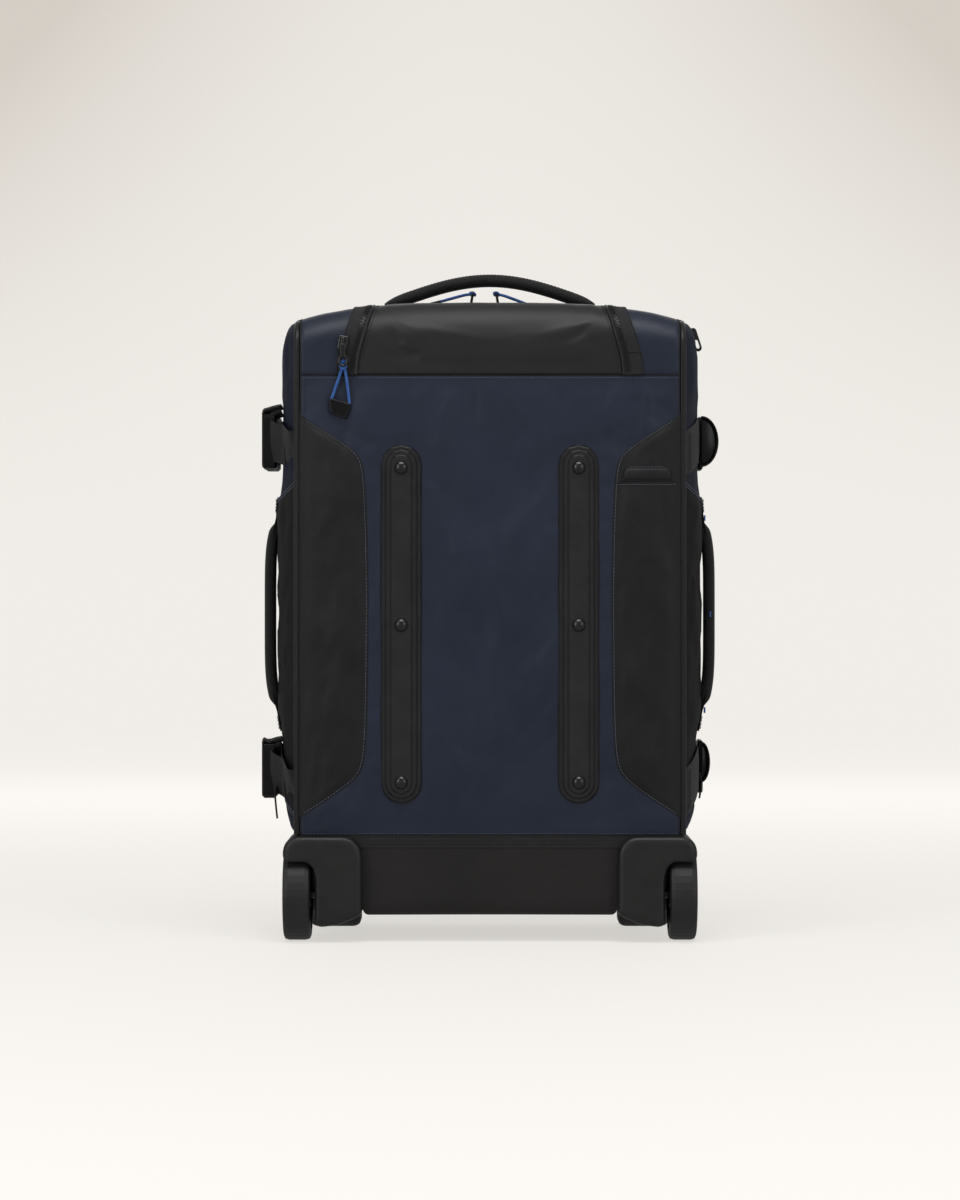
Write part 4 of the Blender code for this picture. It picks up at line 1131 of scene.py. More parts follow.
def base():
    def outline(inset):
        x, n = 170.5 - inset, HOUSING_IN + 0.6 - inset
        back, front, step, corner = BACK_Y + inset, FRONT_Y - 2 - inset, HOUSING_FRONT + 1.0 + inset, 14.0
        right = [(n, back), (n, step), (x, step)]
        right += [
            (x - corner + corner * math.cos(a), front - corner + corner * math.sin(a))
            for a in [k * math.pi / 14 for k in range(8)]
        ]
        ring = right + [(-px, py) for px, py in reversed(right)]
        dense = []
        for a, b in zip(ring, ring[1:] + ring[:1]):
            count = max(1, int(math.dist(a, b) / 9))
            dense += [
                (a[0] + (b[0] - a[0]) * k / count, a[1] + (b[1] - a[1]) * k / count) for k in range(count)
            ]
        return dense

    fold = 9.0
    levels = [(4.0, BASE_TOP), (1.0, BASE_TOP), (0.3, BASE_TOP - 2)]
    levels += [(0.0, BASE_TOP - 8 - k * 9.5) for k in range(6)]
    levels += [
        (fold * (1 - math.cos(a)) * 0.9, BASE_BOTTOM + fold * (1 - math.sin(a)))
        for a in [k * math.pi / 12 for k in range(1, 7)]
    ]
    base_ring = outline(0.0)
    verts, uvs = [], []
    for inset, z in levels:
        for k, (x, y) in enumerate(base_ring):
            inward = Vector((-x, -y)).normalized()
            here = Vector((x, y)) + inward * inset
            if 0.5 < inset:
                here = Vector((max(-170, min(170, here.x)), here.y))
            slack = (
                wrinkle((x, y, z), 40, 0.7, 15.0) * smooth((BASE_TOP - z) / 14)
                * smooth((z - BASE_BOTTOM) / 10)
            )
            here -= inward * max(-0.3, slack) * 0.6
            verts.append((here.x, here.y, z))
            uvs.append((k * 9.0, z))
    wide = len(base_ring)
    faces = []
    for r in range(len(levels) - 1):
        for c in range(wide):
            a, b = r * wide + c, r * wide + (c + 1) % wide
            faces.append((a, a + wide, b + wide, b))
    faces.append(tuple(range((len(levels) - 1) * wide, len(levels) * wide)))
    piece("base_fabric", verts, faces, BASE, "bag", ["base_tray"], uvs)
    edge = HOUSING_IN - 1.5
    chunks = []
    for z in (BASE_TOP - 3.2, BASE_TOP - 6.4, BASE_TOP - 9.6):
        chunks += stitch_data(
            [(x, BACK_Y - 0.5, z) for x in spread(-edge, edge, 60)], lambda p: (0, -1, 0), 3.0, 1.8, 0.27
        )
        chunks += stitch_data(
            [(x, FRONT_Y - 1.6, z) for x in spread(-154, 154, 60)], lambda p: (0, 1, 0), 3.0, 1.8, 0.27
        )
        for side in (-1, 1):
            line = [(side * 170.9, y, z) for y in spread(HOUSING_FRONT + 4, 82, 40)]
            chunks += stitch_data(line, lambda p, side=side: (side, 0, 0), 3.0, 1.8, 0.27)
    merged("base_stitches", chunks, DARK_THREAD, "bag")
    grid(
        "base_top_fold", spread(-164, 164, 30), spread(BASE_TOP - 11.5, BASE_TOP + 0.2, 6),
        lambda x, z: (x, BACK_Y - 0.35, z), BASE, "bag", (), 1.2, (0, -1, 0)
    )
    line = [(x, BACK_Y - 0.7, BASE_TOP + 1.8) for x in spread(-162, 162, 60)]
    merged("base_seam_stitches", stitch_data(line, lambda p: (0, -1, 0), 3.0, 1.8, 0.27), THREAD, "bag")
    pipe(
        "base_seam_back", [(x, BACK_Y - 0.4, BASE_TOP + 0.3) for x in spread(-163, 163, 50)], 0.6, BINDING,
        "bag", sides=8
    )
    pipe(
        "base_seam_front", [(x, FRONT_Y - 0.6, BASE_TOP + 0.3) for x in spread(-163, 163, 50)], 1.2,
        BINDING, "bag", sides=8
    )
    for side, word in ((-1, "left"), (1, "right")):
        line = [(side * 168.2, y, BASE_TOP + 0.6) for y in spread(HOUSING_FRONT, 88, 30)]
        pipe(f"base_seam_{word}", line, 1.4, BINDING, "bag", sides=8)


# ---------- Front: frame, lid and pocket ----------


def lid_shape(u, v_distance, grow=0.0, lift=0.0):
    finish = distance_on_top(LID_BACK_Y - grow)
    from_end, corner = v_distance - finish, LID_CORNER + grow
    narrow = 0.0
    if from_end < corner:
        narrow = corner - math.sqrt(max(0.0, corner**2 - (corner - max(0.0, from_end)) ** 2))
    x = u * (LID_HALF + grow - narrow)
    x, y, z = hoop(v_distance, x, lift)
    height = (z - (LID_BOTTOM + TOP_Z) / 2) / ((TOP_Z - LID_BOTTOM) / 2)
    crown = LID_CROWN * max(0.0, 1 - u**2) ** 0.7 * max(0.0, 1 - height**2) ** 0.7
    return x, y + (crown if v_distance > FRONT_ARC_END else 0.0), z


LID_END = distance_on_top(LID_BACK_Y)
LID_START = FRONT_ARC_END + TOP_Z - TOP_RADIUS - LID_BOTTOM


def lid_outline(grow):
    """The lid's rim as (x, distance), from its bottom left, over the top, to its bottom right."""
    left = []
    for d in [LID_START - 2 - (LID_START - 2 - LID_END - LID_CORNER) * k / 40 for k in range(41)]:
        left.append((-LID_HALF - grow, d))
    arc = [
        (
            -(LID_HALF - LID_CORNER) - (LID_CORNER + grow) * math.cos(a),
            LID_END + LID_CORNER - (LID_CORNER + grow) * math.sin(a)
        )
        for a in [math.pi / 2 * k / 16 for k in range(1, 17)]
    ]
    left += arc
    across = [(x, LID_END - grow) for x in spread(-(LID_HALF - LID_CORNER), LID_HALF - LID_CORNER, 24)[1:-1]]
    return left + across + [(-x, d) for x, d in reversed(left)]


def front():
    rows = (
        spread(LID_END + 0.3, LID_END + 8, 6)[:-1] + spread(LID_END + 8, FRONT_ARC_END, 20)[:-1]
        + spread(FRONT_ARC_END, LID_START, 60)
    )

    def lid(u, d):
        loose = smooth((1 - abs(u)) * 8) * smooth((LID_START - d) / 12) * smooth((d - LID_END) / 10)
        return lid_shape(u, d, 0.0, 0.4 + loose * max(0.0, 0.8 + wrinkle((u * 140, 3, d), 60, 1.1, 21.0)))

    sheet = grid("lid_fabric", spread(-1, 1, 56), rows, lid, NAVY, "lid", ["lid"], 1.8, (0, 1, 0.3))

    def free(x, y, z):
        off_pocket = max(smooth((abs(x) - 116) / 6), smooth((z - 336) / 10), smooth((144 - z) / 6))
        return (
            off_pocket * smooth((LID_HALF - 8 - abs(x)) / 14) * smooth((z - LID_BOTTOM - 6) / 10)
            * smooth((y - LID_BACK_Y - 8) / 14)
        )

    relax(sheet, free, 1.2)
    cut_sheet(sheet, "stretched", "front_frame")
    grid(
        "lid_lining", spread(-0.985, 0.985, 30), rows[1::2], lambda u, d: lid_shape(u, d, 0.0, -3.6),
        LINING, "lid", (), 0.0, (0, -1, -0.3)
    )

    def strip(x, z):
        return x, FRONT_Y + 0.2 + max(0.0, wrinkle((x, 9, z), 40, 0.4, 23.0)), z

    for number, (a, b) in enumerate(((-163.4, -LID_HALF - 2), (LID_HALF + 2, 163.4))):
        grid(
            f"front_strip_{number + 1}", spread(a, b, 8), spread(BASE_TOP + 0.3, 508.0, 70), strip, NAVY,
            "bag", ["front_frame"] if not number else (), 1.6, (0, 1, 0)
        )
    grid(
        "front_sill", spread(-142.2, 142.2, 40), spread(BASE_TOP + 0.3, LID_BOTTOM - 2.5, 8),
        lambda x, z: (x, FRONT_Y + 0.2, z), NAVY, "bag", (), 1.6, (0, 1, 0)
    )
    lid_zip()
    front_pocket()


def lid_zip():
    def outward(p):
        return (0, 1, 0) if p.z < 515 else (0, max(0.0, p.y - 72), p.z - 515)

    ribbon_on_hoop("lid_zip_tape", lid_outline(7.0), 13.0, 1.1, TAPE, "bag", 5)
    zip_teeth("lid_zip_teeth", lid_outline(1.2), 1.3, "bag")
    chunks = []
    for grow in (6.2, 12.6):
        chunks += stitch_data(on_hoop(lid_outline(grow), 1.25), outward, 3.2, 2.2, 0.3)
    merged("lid_zip_stitches", chunks, DARK_THREAD, "bag")
    pipe("lid_piping", [hoop(d, x, 1.0) for x, d in lid_outline(-2.4)], 1.6, PIPING, "lid")
    pipe(
        "lid_hinge_seam", [(x, FRONT_Y + 0.6, LID_BOTTOM - 4.6) for x in spread(-139, 139, 40)], 1.2,
        BINDING, "bag", sides=8
    )


def front_pocket():
    """A gusseted pocket low on the lid, with a zip across its top."""
    low, high, half = 150.0, 330.0, 112.0

    def surface(x, z):
        d = FRONT_ARC_END + TOP_Z - TOP_RADIUS - z
        return lid_shape(x / LID_HALF, d)[1]

    def pad(u, v):
        x, z = u * half, (low + high) / 2 + v * (high - low) / 2
        rise = 6.5 * (1 - abs(u) ** 6) * (1 - abs(v) ** 6)
        slack = wrinkle((x, 0, z), 42, 1.1, 31.0) * (1 - abs(u) ** 4) * (1 - abs(v) ** 4)
        return x, surface(x, z) + 0.3 + rise + slack, z

    sheet = grid("pocket_fabric", spread(-1, 1, 48), spread(-1, 1, 40), pad, NAVY, "lid", (), 1.4, (0, 1, 0))

    def free(x, y, z):
        return smooth((half - 10 - abs(x)) / 14) * smooth((z - low - 9) / 12) * smooth((high - 30 - z) / 12)

    relax(sheet, free, 1.4)
    cut_sheet(sheet, "stretched", "lid")
    rim = [(half, z) for z in spread(low, high, 20)] + [(x, high) for x in spread(half, -half, 26)]
    rim += [(-half, z) for z in spread(high, low, 20)] + [(x, low) for x in spread(-half, half, 26)]
    pipe("pocket_piping", [(x, surface(x, z) + 1.2, z) for x, z in rim[:-1]], 1.6, PIPING, "lid", closed=True)
    top_z = high - 16

    def ribbon(x, v):
        z = top_z + v * 7
        y = pad(x / half, (z - (low + high) / 2) / ((high - low) / 2))[1]
        return x, y + 0.7, z

    grid(
        "pocket_zip_tape", spread(-half + 9, half - 9, 60), spread(-1, 1, 5), ribbon, TAPE, "lid", (), 0.0,
        (0, 1, 0)
    )
    chunks = []
    x = -half + 12
    while x < half - 12:
        for end in (-1, 1):
            centre = Vector(ribbon(x + end * 0.4, end * 0.14)) + Vector((0, 0.4, 0))
            corners = [(sx, sy, sz) for sx in (-1, 1) for sy in (-1, 1) for sz in (-1, 1)]
            verts = [centre + Vector((sx * 0.55, sy * 0.5, sz * 1.1)) for sx, sy, sz in corners]
            faces = [(0, 1, 3, 2), (4, 6, 7, 5), (0, 4, 5, 1), (2, 3, 7, 6), (0, 2, 6, 4), (1, 5, 7, 3)]
            chunks.append((verts, faces, [(v.x, v.z) for v in verts]))
        x += 1.7
    merged("pocket_zip_teeth", chunks, COIL, "lid")
    y = ribbon(-half + 22, 0)[1]
    lozenge((12, 4.5, 9), 1.4, "pocket_slider", STEEL, "lid", at(-half + 22, y + 2.4, top_z))
    lozenge((7, 2.2, 24), 1.0, "pocket_pull", STEEL, "lid", at(-half + 25, y + 4.6, top_z - 12))
    middle, tall, inset = (low + high) / 2, (high - low) / 2, 3.6
    line = [(x * (half - inset) / half, middle + (z - middle) * (tall - inset) / tall) for x, z in rim]
    points = [(x, pad(x / half, (z - middle) / tall)[1] + 0.2, z) for x, z in line]
    chunks = stitch_data(points, lambda p: (0, 1, 0), 3.2, 2.2, 0.33)
    merged("pocket_stitches", chunks, THREAD, "lid")


# ---------- Straps, loops and handles ----------


def band_data(points, outs, width, thickness, across=4):
    """A woven band along points, standing outs from the body. Returns (verts, faces, uvs)."""
    verts, faces, uvs, run = [], [], [], 0.0
    rows = []
    for k, (here, out) in enumerate(zip(points, outs)):
        here, out = Vector(here), Vector(out).normalized()
        ahead = Vector(points[min(k + 1, len(points) - 1)]) - Vector(points[max(k - 1, 0)])
        side = ahead.normalized().cross(out).normalized()
        if k:
            run += (here - Vector(points[k - 1])).length
        ring = []
        profile = [(w, thickness / 2 * (1 - 0.75 * abs(w) ** 8)) for w in spread(-1, 1, across)]
        profile += [(w, -h) for w, h in reversed(profile)]
        for w, h in profile:
            verts.append(here + side * (w * width / 2) + out * h)
            uvs.append((run, (w + 1) * width / 2 + (2 * width if h < 0 else 0.0)))
            ring.append(len(verts) - 1)
        rows.append(ring)
    for first, second in zip(rows, rows[1:]):
        for a in range(len(first)):
            b = (a + 1) % len(first)
            faces.append((first[a], first[b], second[b], second[a]))
    faces.append(tuple(reversed(rows[0])))
    faces.append(tuple(rows[-1]))
    return verts, faces, uvs


def strap_middle(y, level):
    """How high a compression strap runs: level along the end panel, and sloping down to the back."""
    slope = min(1.0, max(0.0, (STRAP_LEVEL_Y - y) / (STRAP_LEVEL_Y - BACK_Y - 8)))
    return STRAP_Z[level] - STRAP_DROP[level] * slope


def strap_run(side, level, start, end, count=44, lift=0.0):
    points, outs = [], []
    for y in spread(start, end, count):
        z = strap_middle(y, level)
        x = side_surface_x(y, z) + 1.7 + lift
        slope = (side_surface_x(y + 1, z) - side_surface_x(y - 1, z)) / 2
        points.append((side * x, y, z))
        outs.append((side, -side * slope, 0))
    return points, outs


def straps():
    for side, side_word in ((-1, "left"), (1, "right")):
        for level in STRAP_Z:
            data = [band_data(*strap_run(side, level, -93.5, 93.5), WEBBING, 1.5)]
            if side > 0:
                # The band turns back through the ladder lock, and a second layer lies on it
                data.append(band_data(*strap_run(side, level, -14.0, 44.0, 16, 1.7), WEBBING - 1, 1.3))
            merged(f"webbing_{side_word}_{level}", data, WEB, "bag", [f"strap_{side_word}_{level}"])
            chunks = []
            for y in (-86.0, -83.0, 86.0, 83.0):
                middle = strap_middle(y, level)
                line = [
                    (side * (side_surface_x(y, middle + t) + 2.7), y, middle + t) for t in spread(-17, 17, 10)
                ]
                chunks += stitch_data(line, lambda p, side=side: (side, 0, 0), 3.0, 2.1, 0.34)
            merged(f"bartacks_{side_word}_{level}", chunks, DARK_THREAD, "bag")
    for level in STRAP_Z:
        strap_tab(level)
        buckle_webbing(level)


def strap_tab(level):
    """The rounded tab on a right-hand strap: two domed layers of fabric inside a bound rim."""
    below, above, reach = TAB_SHAPE[level]
    z, root = STRAP_Z[level], 187.0
    middle, half = z + (below + above) / 2, (above - below) / 2 - 0.8

    def face(u, v):
        """u runs round the rim, and v from the middle of the root out to the rim."""
        a = math.pi / 2 * u
        x = root + (reach - 1.5 - root) * math.cos(a) * v
        return x, TAB_Y - TAB_THICK * (1 - 0.75 * v**2), middle + half * math.sin(a) * v

    grid(
        f"tab_face_{level}", spread(-1, 1, 24), spread(0.02, 1, 8), face, BUCKLE, "bag",
        [f"strap_loop_{level}"], 0.8, (0, -1, 0)
    )

    def other(u, v):
        x, y, place_z = face(u, v)
        return x, 2 * TAB_Y - y, place_z

    grid(f"tab_back_{level}", spread(-1, 1, 24), spread(0.02, 1, 8), other, BUCKLE, "bag", (), 0.8, (0, 1, 0))
    rim, outs = [], []
    for degrees in range(-90, 91, 6):
        a = math.radians(degrees)
        rim.append((root + (reach - 1.2 - root) * math.cos(a), TAB_Y, middle + half * math.sin(a)))
        outs.append((math.cos(a), 0, math.sin(a)))
    merged(f"tab_rim_{level}", [band_data(rim, outs, 2 * TAB_THICK * 0.75 + 3.0, 1.6)], BINDING, "bag")
    inner = [
        (x - 2.6 * o[0], TAB_Y - TAB_THICK * 0.4, zz - 2.6 * o[2]) for (x, _, zz), o in zip(rim, outs)
    ][2:-2]
    merged(
        f"tab_stitches_{level}", stitch_data(inner, lambda p: (0, -1, 0), 2.8, 2.0, 0.3), DARK_THREAD, "bag"
    )
    if level == "upper":
        return
    tail_x = side_surface_x(TAB_Y, z - 22) + 3.0
    run = [
        (tail_x + 1.0, TAB_Y, z + below + 8), (tail_x + 2.2, TAB_Y, z + below),
        (tail_x + 1.6, TAB_Y, z + below - 8)
    ]
    run.append((tail_x + 0.6, TAB_Y, z + below - 14))
    merged(f"tab_tail_{level}", [band_data(run, [(1, 0, 0.05)] * 4, 14.0, 1.3)], WEB, "bag")


TAB_THICK = 4.6


def buckle_webbing(level):
    """The webbing that runs from a left-hand strap up into each end of its buckle, and the tail behind it."""
    z, chunks, by_clip = STRAP_Z[level], [], []
    for start, end, into in ((-66.0, -41.0, chunks), (52.0, 27.0, by_clip)):
        run, outs = [], []
        for t in spread(0, 1, 8):
            y = start + (end - start) * t
            away = side_surface_x(y, z) + 1.8 + (192.5 - side_surface_x(end, z) - 1.8) * smooth(t)
            run.append((-away, y, strap_middle(y, level)))
            outs.append((-1, 0, 0))
        into.append(band_data(run, outs, WEBBING - 2, 1.6))
    merged(f"clip_webbing_{level}", by_clip, WEB, f"clip_{level}")
    drop = 0.0 if level == "upper" else 3.0
    tail = [(-182.4, z + 30 - drop), (-187.6, z + 29.0 - drop), (-193.8, z + 27.2 - drop)]
    tail += [(-198.0, z + 25.6), (-199.4, z + 21)]
    tail = catmull([(px, -31.0, pz) for px, pz in tail], 5)
    chunks.append(band_data(tail, [(-0.5, 0, 1)] * len(tail), 24.0, 5.0))
    under = [(-183.0, z + 25.5 - drop), (-187.6, z + 24.0 - drop), (-192.0, z + 21.0 - drop)]
    under = catmull([(px, -33.0, pz) for px, pz in under], 5)
    chunks.append(band_data(under, [(-0.4, 0, 1)] * len(under), 20.0, 9.0))
    if level == "lower":
        run = [(-187.4, -50.0, z - 14), (-187.8, -51.0, z - 24)]
        run += [(-187.0, -51.5, z - 33), (-186.0, -51.5, z - 42)]
        chunks.append(band_data(run, [(-1, 0, 0)] * 4, 10.0, 1.4))
    merged(f"buckle_webbing_{level}", chunks, WEB, "bag")


def handle_pad(points, outs, width, thick, ends):
    """Profile of a padded handle along points: an oval sleeve that narrows to flat webbing at its ends."""
    verts, faces, uvs, run = [], [], [], 0.0
    sides = 20
    for k, (here, out) in enumerate(zip(points, outs)):
        here, out = Vector(here), Vector(out).normalized()
        ahead = (Vector(points[min(k + 1, len(points) - 1)]) - Vector(points[max(k - 1, 0)])).normalized()
        side = ahead.cross(out).normalized()
        if k:
            run += (here - Vector(points[k - 1])).length
        t = k / (len(points) - 1)
        full = smooth(min(t, 1 - t) / ends)
        w, h = width / 2 * (0.82 + 0.18 * full), thick / 2 * (0.3 + 0.7 * full)
        for s in range(sides):
            a = 2 * math.pi * s / sides
            c, d = math.cos(a), math.sin(a)
            bulge = (abs(c) ** 0.55) * math.copysign(1, c), (abs(d) ** 0.8) * math.copysign(1, d)
            verts.append(here + side * (w * bulge[0]) + out * (h * bulge[1]))
            uvs.append((run, a * w))
    for k in range(len(points) - 1):
        for s in range(sides):
            a, b = k * sides + s, k * sides + (s + 1) % sides
            faces.append((a, b, b + sides, a + sides))
    faces.append(tuple(reversed(range(sides))))
    faces.append(tuple(range((len(points) - 1) * sides, len(points) * sides)))
    return verts, faces, uvs


def handles():
    top_handle()
    for side, word in ((-1, "left"), (1, "right")):
        side_handle(side, word)


def top_handle():
    thick, width, end = 10.4, 27.0, 93.0
    low, high = HANDLE_FOOT + 0.6, HANDLE_TOP - thick / 2 - 0.2
    points, outs = [], []
    for t in spread(-1, 1, 72):
        x = end * math.sin(math.pi / 2 * t)
        rise = max(0.0, math.cos(math.pi / 2 * abs(x) / (end + 3))) ** 1.15
        points.append((x, 0.0, low + (high - low) * rise))
    for k in range(len(points)):
        ahead = Vector(points[min(k + 1, len(points) - 1)]) - Vector(points[max(k - 1, 0)])
        outs.append(Vector((-ahead.z, 0.0, ahead.x)).normalized())
    verts, faces, uvs = handle_pad(points, outs, width, thick, 0.2)
    pad = piece("top_handle_pad", verts, faces, WEB, "carry_handle", ["top_handle"], uvs)
    chunks = []
    sleeve = list(zip(points, outs))[14:-14]
    for off in (-9.5, 9.5):
        line = [Vector(here) + Vector((0, off, 0)) + out * (thick / 2 * 0.86) for here, out in sleeve]
        chunks += stitch_data(line, lambda p: (0, 0, 1), 3.2, 2.2, 0.34)
    merged("top_handle_stitches", chunks, DARK_THREAD, "carry_handle")
    for side, word in ((-1, "left"), (1, "right")):
        lie = ((94, 552.0), (96, 552.6), (98, 553.0), (102, 553.6), (110, 552.4), (122, 550.9))
        run = [(side * x, 0.0, z) for x, z in lie]
        merged(f"top_handle_anchor_{word}", [band_data(run, [(0, 0, 1)] * len(run), 30.0, 1.7)], WEB, "bag")
        box = [(100, -11), (114, -11), (114, 11), (100, 11), (100, -11), (114, 11), (114, -11), (100, 11)]
        line = [(side * x, y, 554.9 - (x - 100) * 0.14) for x, y in box]
        chunks = stitch_data(line, lambda p: (0, 0, 1), 2.8, 2.0, 0.34)
        merged(f"handle_boxtack_{word}", chunks, DARK_THREAD, "bag")


def side_handle(side, word):
    low, high = 199.0, 366.0
    middle, span = (low + high) / 2, (high - low) / 2
    points, outs = [], []
    for k in range(-40, 41):
        t = k / 40
        x = 187.2 + 7.6 * (1 - abs(t) ** 5)
        points.append((side * x, 0.0, middle + span * t))
    for k in range(len(points)):
        ahead = Vector(points[min(k + 1, len(points) - 1)]) - Vector(points[max(k - 1, 0)])
        out = ahead.cross(Vector((0, 1, 0)))
        outs.append(out if out.x * side > 0 else -out)
    verts, faces, uvs = handle_pad(points, outs, 29.0, 10.0, 0.07)
    pad = piece(f"side_handle_pad_{word}", verts, faces, WEB, "bag", [f"side_handle_{word}"], uvs)
    for z, end in ((low - 6, "low"), (high + 6, "high")):
        way = 1 if end == "low" else -1
        lifts = ((-14, 0.2), (-6, 0.2), (4, 0.6), (12, 2.4), (20, 4.0))
        run = [
            (side * (side_surface_x(0, z + way * t) + 1.0 + lift), 0.0, z + way * t) for t, lift in lifts
        ]
        merged(
            f"side_anchor_{word}_{end}", [band_data(run, [(side, 0, 0)] * len(run), 31.0, 1.7)], WEB, "bag"
        )
        box = [(-12, -12), (-12, -1), (12, -1), (12, -12), (-12, -12), (12, -1), (12, -12), (-12, -1)]
        line = [(side * (side_surface_x(0, z + way * t) + 2.3), y, z + way * t) for y, t in box]
        chunks = stitch_data(line, lambda p: (side, 0, 0), 2.8, 2.0, 0.34)
        merged(f"side_boxtack_{word}_{end}", chunks, DARK_THREAD, "bag")
    if side > 0:
        for number, z in enumerate((low - 1.5, middle, high + 1.5)):
            x = side * (195.0 if number == 1 else 190.2)
            run = [(x, -13.4, z - 2.5), (x, -13.4, z + 2.5)]
            merged(f"blue_bartack_{number + 1}", [band_data(run, [(1, 0, 0)] * 2, 4.0, 1.6)], BLUE, "bag")


# ---------- Zip pulls ----------


def pulls():
    cover_pull()
    for side, word in ((-1, "left"), (1, "right")):
        main_pull(side, word)
    paint(STEEL, "main_slider_left", "main_slider_right", "side_pull")
    cover_slider()
    lozenge((5.0, 7.0, 8.0), 1.5, "side_slider", STEEL, "bag", at(175.6, -25.0, 531.0, math.radians(-30)))


def cover_slider():
    """The slider's body with its bridge, and the pull's stem and ring, which hang from the bridge."""
    lozenge(
        (9.0, 4.0, 13.0), 1.9, "cover_slider_body", STEEL, "cover_slider", at(-126.9, -101.2, 516.6, 0.16),
        ["cover_slider"]
    )
    lozenge(
        (3.2, 3.4, 10.0), 1.3, "cover_slider_bridge", STEEL, "cover_slider", at(-127.2, -104.3, 516.6, 0.16)
    )
    lozenge(
        (4.6, 1.7, 11.0), 0.8, "cover_pull_stem", STEEL, "cover_pull", at(-126.8, -105.9, 510.0, 0.0),
        ["cover_pull"]
    )
    ring = [
        (-126.6 + 3.5 * math.cos(a), -105.6, 500.8 + 4.3 * math.sin(a))
        for a in [2 * math.pi * k / 24 for k in range(24)]
    ]
    pipe("cover_pull_ring", ring, 1.25, STEEL, "cover_pull", sides=10, closed=True)


def cover_pull():
    """The slider's pull, and the cord knotted through its eye, which holds a plain tag by two corners."""
    y = -102.0
    left_foot, right_foot, knot_z = (-136.4, 468.4), (-121.0, 464.2), 497.0
    path = [(left_foot[0], y, left_foot[1]), (-133.4, y, 477.0), (-130.2, y, 486.5), (-128.0, y, 493.5)]
    path += [(-127.6, y - 1.2, 498.2), (-126.3, y - 2.0, 500.6), (-125.2, y - 1.2, 498.2)]
    path += [(-124.9, y, 493.5), (-123.6, y, 486.0), (-122.2, y, 475.0), (right_foot[0], y, right_foot[1])]
    cord_path = catmull(path, 6)
    cord = pipe("cover_cord", cord_path, 1.25, BLUE, "cover_pull")
    length = path_length(cord_path) * MM
    corners = [(-139.4, 469.6), (-118.7, 464.1), (-124.0, 450.4), (-137.6, 455.8)]

    def tag_face(u, v):
        (ax, az), (bx, bz), (cx, cz), (dx, dz) = corners
        top, low = (ax + (bx - ax) * u, az + (bz - az) * u), (dx + (cx - dx) * u, dz + (cz - dz) * u)
        edge = min(u, 1 - u, v, 1 - v)
        x, z = (a + (b - a) * v for a, b in zip(low, top))
        return x, y - 1.0 - 0.3 * smooth(edge * 9), z

    tag = grid(
        "cover_tag_body", spread(0, 1, 16), spread(0, 1, 12), tag_face, BUCKLE, "cover_pull", ["cover_tag"],
        1.8, (0, -1, 0)
    )
    rim = [(corners[k], corners[(k + 1) % 4]) for k in range(4)]
    line = []
    for (ax, az), (bx, bz) in rim:
        line += [(ax + (bx - ax) * t, az + (bz - az) * t) for t in spread(0, 1, 8)[:-1]]
    centre = Vector((sum(c[0] for c in corners) / 4, 0, sum(c[1] for c in corners) / 4))
    inner = [Vector((px, y - 1.5, pz)).lerp(Vector((centre.x, y - 1.5, centre.z)), 0.18) for px, pz in line]
    merged(
        "cover_tag_stitches", stitch_data(inner + inner[:1], lambda p: (0, -1, 0), 2.4, 1.7, 0.25),
        DARK_THREAD, "cover_pull"
    )
    [c * MM for c in cord_path[0]]
    [[c * MM for c in p] for p in cord_path]
    knot_path = [
        (-129.0, y, 499.5), (-126.6, y - 2.0, knot_z - 0.8), (-124.0, y, 499.4), (-126.4, y + 1.3, 501.0)
    ]
    knot_path += [(-128.9, y - 0.8, 497.4), (-126.4, y - 2.3, 494.6), (-124.2, y - 1.0, 497.0)]
    pipe("cover_knot", catmull(knot_path, 5), 1.7, BLUE, "cover_pull")


def path_length(points):
    return sum((Vector(a) - Vector(b)).length for a, b in zip(points, points[1:]))


def catmull(points, steps):
    """A smooth path through points."""
    points = [Vector(p) for p in points]
    result = []
    for k in range(len(points) - 1):
        before, a, b, after = points[max(k - 1, 0)], points[k], points[k + 1], points[
            min(k + 2, len(points) - 1)
        ]
        for s in range(steps):
            t = s / steps
            result.append(
                0.5 * (
                    (2 * a) + (b - before) * t + (2 * before - 5 * a + 4 * b - after) * t**2
                    + (3 * a - before - 3 * b + after) * t**3
                )
            )
    return result + [points[-1]]


